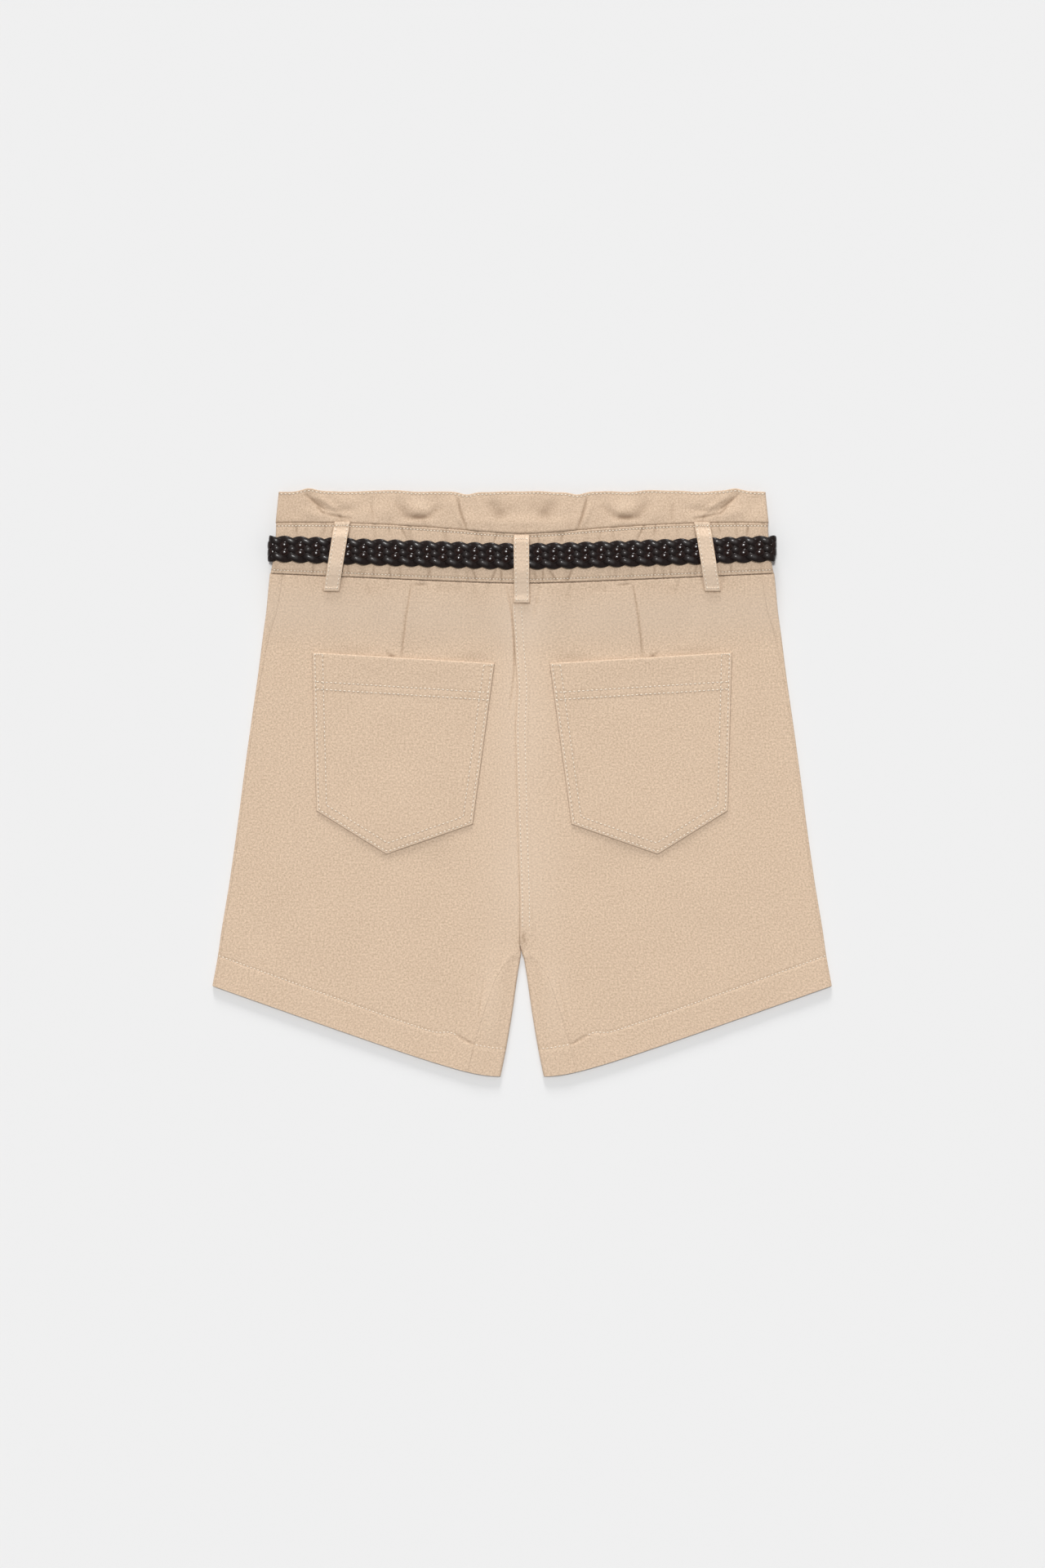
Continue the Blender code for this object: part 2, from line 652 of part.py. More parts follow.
def loop_spread(loop):
    """Shares down a loop, closer where it bends over the belt's edges."""
    length = loop.top_y - loop.bottom_y
    middle = belt_y((loop.top_x + loop.bottom_x) / 2)
    clear = [BELT_WIDTH / 2 + past for past in (LOOP_DOWN, (LOOP_DOWN + LOOP_OVER) / 2, LOOP_OVER)]
    above = [middle + reach for reach in clear]
    below = [middle - reach for reach in reversed(clear)]
    bends = [loop.top_y, *above, middle, *below, loop.bottom_y]
    return [(loop.top_y - bend) / length for bend in bends]


def back_loop_point(loop, u, v):
    share = station_at(loop_spread(loop), v)
    x = mix(loop.top_x, loop.bottom_x, share)
    y = mix(loop.top_y, loop.bottom_y, share)
    under = (back_surface(x + reach, y + step) for reach in LOOP_ACROSS for step in LOOP_ALONG)
    rest = max(under) + LOOP_REST
    across = mix(LOOP_ACROSS[0], LOOP_ACROSS[-1], u)
    return x + across, y, max(rest + LOOP_CLOTH, mix(rest + LOOP_CLOTH, LOOP_TOP, over_belt(y, x)))


def front_loop_point(loop, u, v):
    """The outside of a front loop looks down, at z = 0 below the belt."""
    share = station_at(loop_spread(loop), v)
    x = mix(loop.top_x, loop.bottom_x, share)
    y = mix(loop.top_y, loop.bottom_y, share)
    above = flat_band_low(x, y)
    if y < waist_y(x):
        above = front_low(x, y)
    elif y > casing_y(x):
        above = min(ruffle_low(x + reach, y) for reach in LOOP_ACROSS)
    rest = above - LOOP_REST - LOOP_CLOTH
    across = mix(LOOP_ACROSS[-1], LOOP_ACROSS[0], u)
    return x + across, y, max(mix(rest, 0.0, over_belt(y, x)), 0.0)


def make_loops():
    for loops, place in ((BACK_LOOPS, back_loop_point), (FRONT_LOOPS, front_loop_point)):
        for loop in loops:
            cells = len(loop_spread(loop)) - 1
            bm = grid(1, cells, lambda u, v, loop=loop, place=place: place(loop, u, v))
            cloth(loop.name, bm, LOOP_CLOTH)


def pocket_point(side, u, v):
    """u runs from the seat seam's side outwards, v from the mouth to the pointed foot."""
    tip_u = POCKET_TIP_COLUMN / POCKET_COLUMNS
    top_x = mix(POCKET_TOP_IN[0], POCKET_TOP_OUT[0], u)
    top_y = mix(POCKET_TOP_IN[1], POCKET_TOP_OUT[1], u)
    if u <= tip_u:
        corner, share = POCKET_LOW_IN, 1 - u / tip_u
    else:
        corner, share = POCKET_LOW_OUT, (u - tip_u) / (1 - tip_u)
    low_x = mix(POCKET_TIP[0], corner[0], share)
    low_y = mix(POCKET_TIP[1], corner[1], share)
    x, y = side * mix(top_x, low_x, v), mix(top_y, low_y, v)
    mouth = POCKET_MOUTH * math.sin(math.pi * u) * ease(1 - v / POCKET_MOUTH_SHARE)
    return x, y, panel_top(x, y, CLEAR_OF_FOLD) + POCKET_GAP + POCKET_CLOTH + mouth


def make_pockets():
    for side, name in ((-1, "pocket_left"), (1, "pocket_right")):
        bm = grid(POCKET_COLUMNS, POCKET_ROWS, lambda u, v: pocket_point(side, u, v))
        if side < 0:
            bmesh.ops.reverse_faces(bm, faces=bm.faces[:])
        cloth(name, bm, POCKET_CLOTH)


def make_waist():
    back = grid(CASING_COLUMNS, CASING_ROWS, casing_point)
    cloth("waistband_back", back, CASING_CLOTH)
    columns = 2 * (sum(SIDE_COLUMNS) + FRONT_COLUMNS)
    cloth("waistband_front", grid(columns, BAND_ROWS, front_band_point), BAND_CLOTH)
    back = grid(RUFFLE_COLUMNS, RUFFLE_ROWS, back_ruffle_point)
    cloth("ruffle_back", back, CLOTH)
    columns = 2 * (sum(SIDE_COLUMNS) + FRONT_COLUMNS)
    cloth("ruffle_front", grid(columns, FRONT_RUFFLE_ROWS, front_ruffle_point), CLOTH)


# ---- making meshes ----

def material(name, colour, roughness):
    made = bpy.data.materials.new(name)
    made.use_nodes = True
    shader = made.node_tree.nodes["Principled BSDF"]
    shader.inputs["Base Color"].default_value = colour
    shader.inputs["Roughness"].default_value = roughness
    shader.inputs["Metallic"].default_value = 0.0
    return made


def add_object(name, bm, colour, roughness):
    mesh = bpy.data.meshes.new(name)
    bm.to_mesh(mesh)
    bm.free()
    mesh.shade_smooth()
    mesh.set_sharp_from_angle(angle=math.radians(40))
    made = bpy.data.objects.new(name, mesh)
    made.data.materials.append(material(name, colour, roughness))
    parts.objects.link(made)
    return made


def grid(columns, rows, place):
    """A grid of cells whose corners are put where place(u, v) says, in millimetres.
    u runs along the columns, and v down the rows."""
    bm = bmesh.new()
    bmesh.ops.create_grid(bm, x_segments=columns, y_segments=rows, size=0.5)
    for vert in bm.verts:
        vert.co = [size * MM for size in place(vert.co.x + 0.5, 0.5 - vert.co.y)]
    return bm


def cloth(name, bm, thickness):
    """The grid is the outside of the wall, which gets its thickness inwards."""
    made = add_object(name, bm, CLOTH_COLOUR, 0.7)
    wall = made.modifiers.new("wall", "SOLIDIFY")
    wall.thickness = thickness * MM
    wall.offset = -1.0
    wall.use_even_offset = False
    return made


# ---- the panels ----

def make_panels():
    for side, name in ((-1, "left"), (1, "right")):
        pieces = (
            ("back_" + name, back_panel_point, BACK_COLUMNS, ROW_STEPS_BACK),
            ("front_" + name, front_panel_point, len(FRONT_STATIONS) - 1, 1),
        )
        for piece, point, columns, row_steps in pieces:
            bm = grid(columns, (len(ROWS) - 1) * row_steps,
                      lambda u, v, point=point: point(side, u, v))
            if side < 0:
                bmesh.ops.reverse_faces(bm, faces=bm.faces[:])
            cloth(piece, bm, CLOTH)


def clear_scene():
    for item in list(bpy.data.objects):
        bpy.data.objects.remove(item, do_unlink=True)


clear_scene()
parts = bpy.data.collections.new("chino_shorts")
bpy.context.scene.collection.children.link(parts)
make_panels()
make_waist()
make_pockets()
make_loops()
make_belt()
make_belt_ends()
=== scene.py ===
import math

import bmesh
import bpy
import numpy as np
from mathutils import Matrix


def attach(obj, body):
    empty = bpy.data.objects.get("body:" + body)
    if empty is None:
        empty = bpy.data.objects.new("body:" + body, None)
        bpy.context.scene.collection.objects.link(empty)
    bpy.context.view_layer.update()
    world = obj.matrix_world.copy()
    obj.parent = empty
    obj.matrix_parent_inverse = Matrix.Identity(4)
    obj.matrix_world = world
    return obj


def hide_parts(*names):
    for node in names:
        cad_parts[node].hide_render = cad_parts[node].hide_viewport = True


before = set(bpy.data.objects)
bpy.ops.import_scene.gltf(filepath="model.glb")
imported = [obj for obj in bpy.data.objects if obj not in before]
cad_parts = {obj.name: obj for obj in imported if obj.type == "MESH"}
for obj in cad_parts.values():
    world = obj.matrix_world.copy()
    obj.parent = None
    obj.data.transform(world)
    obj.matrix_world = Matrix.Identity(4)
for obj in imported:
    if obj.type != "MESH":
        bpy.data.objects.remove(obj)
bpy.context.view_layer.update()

# The shorts lie on z = 0 with the back up and the waist towards +Y; x is 0 on the seat
# seam. Shapes are worked out in millimetres, and mm turns them into metres.
mm = 0.001

cloth = {
    "layFlat": 3.3,          # outside of the back panels where they lie flat
    "foldRoll": 1.65,        # radius of the folds along the sides and inner legs
    "shell": 0.8,            # thickness of one layer
    "seamGap": 0.1,          # between two pieces at a seam
    "bandTop": 9.4,          # outside of the back waistband
    "bandLow": 5.4,          # underside of the front waistband
    "climb": 56.0,           # length in which the panels rise to the waistband
    "tuckUnder": 1.3,        # how far they run on under its edge
    "seamBend": 0.13,        # how soft the dip of the waist seams is at the centre
}
clearOfFold = 60.0           # any distance at which a fold has no effect
# Courses of the seams across: y on the centre line, rise towards the side, half width,
# and how far they swell above that between the centre and the side
waistCourse = {"mid": 151.3, "rise": 7.4, "half": 191.3, "swell": 0.0}
casingCourse = {"mid": 188.6, "rise": 8.0, "half": 187.0, "swell": 2.8}
beltCourse = {"mid": 171.3, "rise": 5.9, "half": 193.1, "swell": 0.0}

# Right half from the waist seam to the hem. Each row runs from the seat seam or inner
# fold to the side fold; a wrap is how far inside the fold its seam shows on the back.
rowTable = np.array((
    # innerX innerY outerX outerY sideWrap inseamWrap
    (0.0, 151.3, 191.3, 158.7, 9.9, 0.0),
    (0.0, 137.0, 192.6, 146.3, 9.4, 0.0),
    (0.0, 120.0, 194.2, 130.2, 8.2, 0.0),
    (0.0, 98.0, 197.0, 110.6, 4.8, 0.0),
    (0.0, 62.0, 200.8, 80.6, 2.6, 0.0),
    (0.0, 20.0, 206.3, 42.2, 1.9, 0.0),
    (0.0, -28.0, 211.4, 5.0, 1.9, 0.0),
    (0.0, -78.0, 216.5, -34.7, 1.9, 0.0),
    (0.0, -124.0, 222.3, -75.6, 1.9, 0.0),
    (1.6, -135.2, 224.0, -86.0, 1.9, 9.0),
    (4.0, -150.0, 226.0, -98.0, 1.9, 16.5),
    (7.4, -174.0, 228.5, -113.0, 1.9, 21.5),
    (12.1, -202.0, 231.1, -131.4, 1.9, 25.5),
    (16.4, -223.2, 235.3, -154.4, 1.9, 26.0),
))
crotchRow = 8

shortsCollection = bpy.data.collections.new("chinoShorts")
bpy.context.scene.collection.children.link(shortsCollection)


# Curves and waves, on numpy arrays

def mix(low, high, share):
    return low + (high - low) * share


def ease(share):
    share = np.clip(share, 0.0, 1.0)
    return share * share * (3 - 2 * share)


def fade(distance, reach):  # 1 at no distance, 0 from the reach on
    return ease(1 - distance / reach)


def bell(off, width):
    return np.exp(-(off / width) ** 2)


def roundOff(share):  # section of a rounded edge: 0 at the edge, 1 from a share of 1 on
    return np.sqrt(1 - (1 - np.clip(share, 0.0, 1.0)) ** 2)


def dip(share):  # 0 on the centre line, 1 at the side, soft at the centre
    bend = cloth["seamBend"]
    return (np.hypot(share, bend) - bend) / (math.hypot(1.0, bend) - bend)


def courseY(course, x):
    share = dip(np.minimum(np.abs(x) / course["half"], 1.0))
    return course["mid"] + course["rise"] * share + course["swell"] * 4 * share * (1 - share)


def cloud(x, y, size, seed):  # soft random relief, about -1 to 1, with lumps of that size
    rng = np.random.default_rng(seed)
    total = 0.0
    for turn, stretch, phase in zip(*rng.random((3, 12))):
        wave = 2 * np.pi / size * mix(0.6, 1.7, stretch)
        angle = 2 * np.pi * turn
        total = total + np.sin(wave * (x * np.cos(angle) + y * np.sin(angle)) + 2 * np.pi * phase)
    return total / 4.0


def wander(x, size, seed):  # slow random wave along one direction, about -1 to 1
    rng = np.random.default_rng(seed)
    total = 0.0
    for stretch, phase in zip(*rng.random((2, 4))):
        total = total + np.sin(2 * np.pi * (x / size * mix(0.6, 1.8, stretch) + phase))
    return total / 2.6


def throughRows(values, place):  # smooth curve through the rows' values
    last = len(values) - 1
    index = np.clip(np.floor(place).astype(int), 0, last - 1)
    t = place - index
    a, b, c, d = (values[np.clip(index + step, 0, last)] for step in (-1, 0, 1, 2))
    return b + 0.5 * t * (c - a + t * (2 * a - 5 * b + 4 * c - d + t * (3 * (b - c) + d - a)))


def fromCrease(x, y, fromX, fromY, toX, toY, bow, half):  # share along it, distance off it
    runX, runY = toX - fromX, toY - fromY
    length = math.hypot(runX, runY)
    placeX = np.abs(x) - fromX
    along = np.clip((placeX * runX + (y - fromY) * runY) / length ** 2, 0.0, 1.0)
    off = ((y - fromY) * runX - placeX * runY) / length - bow * 4 * along * (1 - along)
    return along, off, (1.0 if half == 0 else 1.0 * (x * half >= 0))


def creaseRelief(creases, x, y):  # soft troughs and ridges
    total = np.zeros(np.broadcast(x, y).shape)
    for *route, near, far, height, half in creases:
        along, off, shown = fromCrease(x, y, *route, half)
        total += shown * height * np.sin(np.pi * along) ** 0.7 * bell(off, np.where(off > 0, near, far))
    return total


def thinCreases(creases, x, y):  # sharp little folds: how deep, and how much painted shade lies in them
    depth = np.zeros(np.broadcast(x, y).shape)
    dark = np.zeros_like(depth)
    for *route, width, deep, shade, half in creases:
        along, off, shown = fromCrease(x, y, *route, half)
        here = shown * np.sin(np.pi * along) ** 0.4 * bell(off, width)
        depth += here * deep
        dark += here * shade
    return depth, dark


def patches(places, x, y):  # soft patches of painted shade, or of painted light below 0
    total = np.zeros(np.broadcast(x, y).shape)
    for atX, atY, wide, tall, dark in places:
        total += dark * bell(np.abs(x) - atX, wide) * bell(y - atY, tall)
    return total


# Surfaces: the outside of each piece on the back. A number without a name is a height,
# width or distance in millimetres, or a share of painted shade.

# From x, y to x, y, bow to the left, width on the left and on the right, height (below
# 0 is a trough), and half: 0 for both, 1 for right only, -1 for left only
panelRelief = {
    "creases": (
        (5.0, 145.0, 7.0, -140.0, 0.0, 15.0, 17.0, 1.0, 0),
        (60.0, -50.0, 138.0, -30.0, 8.0, 42.0, 26.0, 0.8, 0),
        (150.0, -62.0, 34.0, -92.0, -22.0, 14.0, 14.0, -0.45, 0),
        (6.0, -126.0, 38.0, -228.0, 2.0, 10.0, 12.0, 0.9, 0),
        (4.0, -123.5, 30.5, -181.0, 2.0, 2.6, 3.4, 0.45, 0),
        (84.0, 152.0, 91.0, 96.0, 0.0, 8.0, 8.0, 0.5, 0),
        (128.0, 154.0, 122.0, 104.0, 3.0, 7.0, 5.0, -0.45, 0),
        (46.0, 151.0, 34.0, 104.0, -3.0, 8.0, 6.0, -0.5, 0),
        (66.0, 151.0, 60.0, 108.0, 2.0, 7.0, 7.0, 0.45, 0),
        (103.0, 101.0, 93.0, 92.0, 0.0, 3.0, 3.0, 0.5, 0),
        (172.0, 152.0, 182.0, 70.0, 0.0, 8.0, 6.0, 0.4, 0),
        (108.0, 152.0, 113.0, 118.0, 1.0, 4.0, 5.0, 0.3, 0),
        (150.0, 154.0, 158.0, 112.0, -1.0, 5.0, 4.0, -0.3, 0),
        (29.0, 148.0, 24.0, 110.0, 1.0, 3.5, 4.5, -0.35, 0),
        (186.0, 60.0, 176.0, -40.0, 3.0, 9.0, 11.0, -0.25, 0),
        (170.0, -80.0, 196.0, -128.0, 4.0, 10.0, 9.0, -0.2, 0),
        (66.0, -112.0, 90.0, -172.0, -5.0, 12.0, 11.0, 0.25, 0),
        (112.0, -100.0, 128.0, -160.0, 4.0, 12.0, 12.0, -0.2, 0),
    ),
    # the same up to the bow, then width, depth, painted shade and half
    "lines": (
        (84.0, 150.4, 91.7, 93.0, 0.7, 0.62, 0.45, 0.62, 0),
        (83.0, 150.4, 71.5, 149.7, 0.0, 0.6, 0.4, 0.5, 0),
        (12.4, 151.0, 9.9, 54.0, -5.2, 0.75, 0.75, 0.5, -1),
        (12.9, 152.0, 8.2, 123.0, 0.4, 0.85, 0.6, 0.36, 1),
        (103.5, 99.2, 93.4, 93.2, 0.6, 1.0, 0.8, 0.7, 0),
        (27.6, -149.0, 34.4, -185.0, 0.6, 0.9, 0.25, 0.14, 0),
        (49.8, -191.3, 37.6, -199.4, -0.6, 0.7, 0.3, 0.3, 0),
        (0.0, -113.5, 2.4, -122.0, 0.0, 1.2, 0.6, 0.45, 1),
        (36.5, 151.0, 33.6, 139.0, 0.4, 0.9, 0.3, 0.2, 0),
        (62.0, 152.0, 63.5, 143.0, 0.4, 0.9, 0.3, 0.16, 0),
        (119.0, 154.0, 116.0, 143.5, -0.4, 0.9, 0.3, 0.18, 0),
    ),
    # x and y of the middle, half width and height, and how much painted shade, or painted light below 0
    "patches": (
        (114.0, 145.5, 8.0, 3.0, 0.13), (57.0, 147.5, 10.0, 3.0, 0.13), (97.0, 149.5, 22.0, 3.0, 0.08),
        (160.0, 150.5, 12.0, 4.0, 0.08), (131.0, 100.5, 17.0, 3.2, 0.16), (38.0, 95.5, 15.0, 3.2, 0.18),
        (34.0, 118.0, 12.0, 34.0, 0.05), (1.0, -121.0, 3.6, 6.0, 0.22), (66.0, -48.0, 24.0, 8.0, 0.05),
        (0.0, 124.0, 15.0, 44.0, -0.20), (0.0, 40.0, 22.0, 60.0, -0.22), (0.0, -70.0, 30.0, 52.0, -0.24),
        (24.0, -160.0, 9.0, 40.0, -0.14),
    ),
    "lowest": -0.5,          # a crease goes no deeper than this
    "foldFade": 9.0,         # creases fade out this far from a fold
    "gatherReach": 22.0,     # how far the waistband's gathers run down the panel
    "gatherHeight": 0.4,
    "fineReach": 8.0,        # and the tight puckers of the seam itself
    "fineHeight": 0.14,
    "climbPaintedLight": 0.28,       # painted light where the cloth rises to the waistband and turns from the light
    "lump": 0.07,            # slow unevenness of cloth that has been laid down
    "ripple": 0.03,
    "tuck": 1.9,             # how far the upper edge turns down under the waistband
}
dart = {"topX": 84.0, "topY": 150.0, "lowX": 91.2, "lowY": 98.0, "step": 0.45}
# The seat seam is felled: the left panel laps a flat band on the right one. Its edge
# runs through these places, x at y, down to the crotch.
seatSeam = {
    "courseY": (-140.0, -124.0, -87.0, -30.0, 40.0, 54.0, 71.0, 85.0, 100.0, 127.0, 150.0),
    "courseX": (-0.2, -1.5, -1.4, -3.2, -4.9, -4.2, -3.4, -4.2, -5.4, -7.2, -7.8),
    "shownTop": 150.0, "shownLow": -128.0,
    "rowNear": 1.7, "rowFar": 6.9,    # its stitch rows, from that edge
    "bandWide": 10.2, "raise": 0.45,
}
gather = {
    "pitch": 10.46,          # from one pucker of the elastic to the next
    "finePitch": 5.1,        # and of the small ones that stitching draws up
    "lean": 0.06,            # how far a pucker leans sideways over its length
}
# The hem's row of stitches kinks where it crosses the inseam
hem = {"depthRow": 12, "raise": 0.3, "groove": 0.36, "kinkX": 54.0, "kink": 3.9, "kinkWide": 8.0}


def climbAt(x, y):  # 1 at the waist seam, 0 where the panel lies flat
    return fade(courseY(waistCourse, x) - y, cloth["climb"])


def frontLow(x, y):
    return cloth["bandLow"] * climbAt(x, y)


def seatX(y):
    return np.interp(y, seatSeam["courseY"], seatSeam["courseX"])


def seatShown(y):
    return ease((seatSeam["shownTop"] - y) / 4.0) * ease((y - seatSeam["shownLow"]) / 6.0)


def gatherWave(x):  # irregular puckers of the elastic: 0 on the cloth, 1 in a crease
    turn = x / gather["pitch"] + 0.22 * np.sin(x * 0.11) + 0.13 * np.sin(x * 0.047 + 1.0)
    return np.sin(np.pi * turn) ** 10 * np.clip(0.35 + 0.8 * wander(x, 34.0, 71), 0.0, 1.0)


def fineWave(x, seed):  # tight puckers that stitching draws up, 0 to 1
    turn = x / gather["finePitch"] + 0.9 * wander(x, 46.0, seed)
    return np.cos(np.pi * turn) ** 2 * (0.55 + 0.45 * wander(x, 21.0, seed + 1))


def hemY(x):  # course of the hem's row of stitches, which kinks at the inseam
    inner, outer = rowTable[hem["depthRow"], :2], rowTable[hem["depthRow"], 2:4]
    share = np.clip((np.abs(x) - inner[0]) / (outer[0] - inner[0]), 0.0, 1.0)
    kink = hem["kink"] * bell(np.abs(x) - hem["kinkX"], hem["kinkWide"])
    return mix(inner[1], outer[1], dip(share)) + kink


def hemRelief(x, y):
    past = (hemY(x) - y) * 0.95
    band = hem["raise"] * ease(past / 1.6)
    return band - hem["groove"] * bell(past, 0.8) + 0.06 * fineWave(x, 9) * bell(past, 3.0)


def seatRelief(x, y):
    off = x - seatX(y)
    band = ease((off + 0.35) / 0.5) * ease((seatSeam["bandWide"] - off) / 2.2)
    grooves = bell(off - seatSeam["rowNear"], 0.7) + bell(off - seatSeam["rowFar"], 0.7)
    return seatShown(y) * (seatSeam["raise"] * band - 0.24 * grooves - 0.35 * bell(off + 0.5, 0.6))


def dartRelief(x, y):  # the cloth on the dart's outer side stands a little higher
    run = (y - dart["lowY"]) / (dart["topY"] - dart["lowY"])
    off = np.abs(x) - mix(dart["lowX"], dart["topX"], np.clip(run, 0.0, 1.0))
    shown = ease((run + 0.05) / 0.2) * ease((1.25 - run) / 0.2)
    return shown * dart["step"] * bell(np.minimum(off, 0.0), 5.0) * (off < 0) * ease(-off / 0.8)


def panelGathers(x, y):
    return gatherWave(x + gather["lean"] * (courseY(waistCourse, x) - y))


def panelTop(x, y, toFold=clearOfFold):  # toFold is the distance to the nearest fold
    look = panelRelief
    free = ease((toFold - cloth["foldRoll"]) / look["foldFade"])
    below = courseY(waistCourse, x) - y
    gathers = look["gatherHeight"] * panelGathers(x, y) * fade(below, look["gatherReach"])
    gathers += look["fineHeight"] * fineWave(x, 3) * fade(below, look["fineReach"])
    relief = creaseRelief(look["creases"], x, y) * free
    relief += (look["lump"] * cloud(x, y, 46.0, 11) + look["ripple"] * cloud(x, y, 15.0, 12)) * free
    relief -= gathers * ease((toFold - 1.0) / 5.0)
    rise = cloth["bandTop"] - 0.3 - cloth["layFlat"]
    relief = np.maximum(relief, look["lowest"]) + hemRelief(x, y) * ease(toFold / 3.0)
    relief -= thinCreases(look["lines"], x, y)[0] + look["tuck"] * fade(below, 1.1)
    return cloth["layFlat"] + rise * climbAt(x, y) + relief + seatRelief(x, y) + dartRelief(x, y)


def panelShade(x, y):  # painted shade: how much darker the cloth is drawn in its creases, seams and under edges, painted light below 0
    look = panelRelief
    below = courseY(waistCourse, x) - y
    dark = thinCreases(look["lines"], x, y)[1] + patches(look["patches"], x, y)
    dark += 0.16 * panelGathers(x, y) * fade(below, 10.0) + 0.35 * fade(below, 1.3)
    dark += loopShadowLines(x, y) - look["climbPaintedLight"] * 4 * climbAt(x, y) * (1 - climbAt(x, y))
    dark += seatShown(y) * mix(0.25, 0.55, ease((-y - 40.0) / 60.0)) * bell(x - seatX(y) + 0.4, 0.5)
    return dark + 0.2 * bell((hemY(x) - y) * 0.95, 0.7)


# Folds

def roundFold(path, roll):  # inset from the outermost line, and share of half the height
    turn = np.clip(path / roll, -np.pi / 2, np.pi / 2)
    past = np.maximum(np.abs(path) - roll * np.pi / 2, 0.0)
    return roll * (1 - np.cos(turn)) + past, np.sin(turn)


def pathOfInset(inset, roll):
    turned = roll * np.arccos(np.clip(1 - inset / roll, -1.0, 1.0))
    return np.where(inset >= roll, roll * np.pi / 2 + inset - roll, turned)


def rowsAt(place):
    columns = [throughRows(rowTable[:, column], place) for column in range(6)]
    columns[0] = np.maximum(columns[0], 0.0)
    for column in (4, 5):  # the wraps run straight from row to row
        columns[column] = np.interp(place, range(len(rowTable)), rowTable[:, column])
    return columns


def onRow(row, inset):
    innerX, innerY, outerX, outerY = row[:4]
    length = np.hypot(outerX - innerX, outerY - innerY)
    share = 1 - inset / length
    y = innerY + (outerY - innerY) * dip(np.maximum(share, 0.0))
    return innerX + (outerX - innerX) * share, y, length


def onLeg(side, place, row, inset, lift, seam):  # x, y and z on a leg or seat tube
    x, y, length = onRow(row, inset)
    toInner = length - inset + clearOfFold * (1 - ease(place - crotchRow))
    x = side * x
    x = x + seatX(y) * bell(x, 26.0) * ease((y + 136.0) / 12.0) * ease(lift + 1.0)
    high = panelTop(x, y, np.minimum(inset, toInner))
    low = frontLow(x, y)
    return x, y, (high + low) / 2 + lift * (high - low) / 2 - seam * ease(lift)


# Making a piece

def meshFrom(bm, name):
    mesh = bpy.data.meshes.new(name)
    bm.to_mesh(mesh)
    bm.free()
    return mesh


def cornersOf(mesh):
    corners = np.empty(len(mesh.vertices) * 3)
    mesh.vertices.foreach_get("co", corners)
    return corners.reshape(-1, 3)


def moveCorners(mesh, spots):  # to places in millimetres
    mesh.vertices.foreach_set("co", (spots * mm).astype(np.float32).ravel())
    mesh.shade_smooth()
    mesh.update()


def addObject(name, data, collection):
    made = bpy.data.objects.new(name, data)
    collection.objects.link(made)
    return made


def bentGrid(name, us, vs, place, flip=False):
    # A grid whose corners go where place(u, v) says: x, y, z, two distances along the flat
    # cloth, which become the UV map that the weave follows, and the painted shade (light below 0)
    bm = bmesh.new()
    bmesh.ops.create_grid(bm, x_segments=len(us) - 1, y_segments=len(vs) - 1, size=0.5)
    if flip:
        bmesh.ops.reverse_faces(bm, faces=bm.faces[:])
    mesh = meshFrom(bm, name)
    corners = cornersOf(mesh)
    column = np.rint((corners[:, 0] + 0.5) * (len(us) - 1)).astype(int)
    row = np.rint((0.5 - corners[:, 1]) * (len(vs) - 1)).astype(int)
    u, v = np.meshgrid(us, vs)
    parts = [np.broadcast_to(part, u.shape)[row, column] for part in place(u, v)]
    x, y, z, across, along, shade = parts
    shades = mesh.attributes.new("shade", "FLOAT", "POINT")
    shades.data.foreach_set("value", shade.astype(np.float32))
    corner = np.empty(len(mesh.loops), np.int32)
    mesh.loops.foreach_get("vertex_index", corner)
    flat = np.column_stack((across, along))[corner] * mm
    mesh.uv_layers.new(name="flatCloth").data.foreach_set("uv", flat.astype(np.float32).ravel())
    moveCorners(mesh, np.column_stack((x, y, z)))
    return mesh


def sharpRim(mesh):  # keeps the shading of the outside clear of the cut edge
    bm = bmesh.new()
    bm.from_mesh(mesh)
    for edge in bm.edges:
        edge.smooth = not edge.is_boundary
    bm.to_mesh(mesh)
    bm.free()


def addPiece(name, mesh, finish, slot, *nodes):
    piece = addObject(name, mesh, shortsCollection)
    mesh.materials.append(finish)
    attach(piece, "root")
    if nodes:
        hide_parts(*nodes)
    return piece


def addCloth(name, mesh, thickness, node):
    sharpRim(mesh)
    piece = addPiece(name, mesh, twill, "twill", node)
    wall = piece.modifiers.new("wall", "SOLIDIFY")
    wall.thickness = thickness * mm
    wall.offset = -1.0
    wall.use_even_offset = False
    return piece


def spread(stops, cells):  # shares from stop to stop, each stretch in so many cells
    shares = [np.array([stops[0]])]
    for low, high, count in zip(stops, stops[1:], cells):
        shares.append(np.linspace(low, high, count + 1)[1:])
    return np.concatenate(shares)


# Shader tree, written as sums

def plug(tree, socket, value):  # a constant or a link
    if isinstance(value, Wire):
        tree.links.new(value.socket, socket)
    elif value is not None:
        socket.default_value = value


class Wire:  # an output socket that can be used in sums
    def __init__(self, tree, socket):
        self.tree = tree
        self.socket = socket

    def maths(self, operation, first, second=None):
        node = self.tree.nodes.new("ShaderNodeMath")
        node.operation = operation
        for place, value in enumerate((first, second)):
            plug(self.tree, node.inputs[place], value)
        return Wire(self.tree, node.outputs[0])

    def __add__(self, other):
        return self.maths("ADD", self, other)

    def __sub__(self, other):
        return self.maths("SUBTRACT", self, other)

    def __rsub__(self, other):
        return self.maths("SUBTRACT", other, self)

    def __mul__(self, other):
        return self.maths("MULTIPLY", self, other)

    __radd__ = __add__
    __rmul__ = __mul__


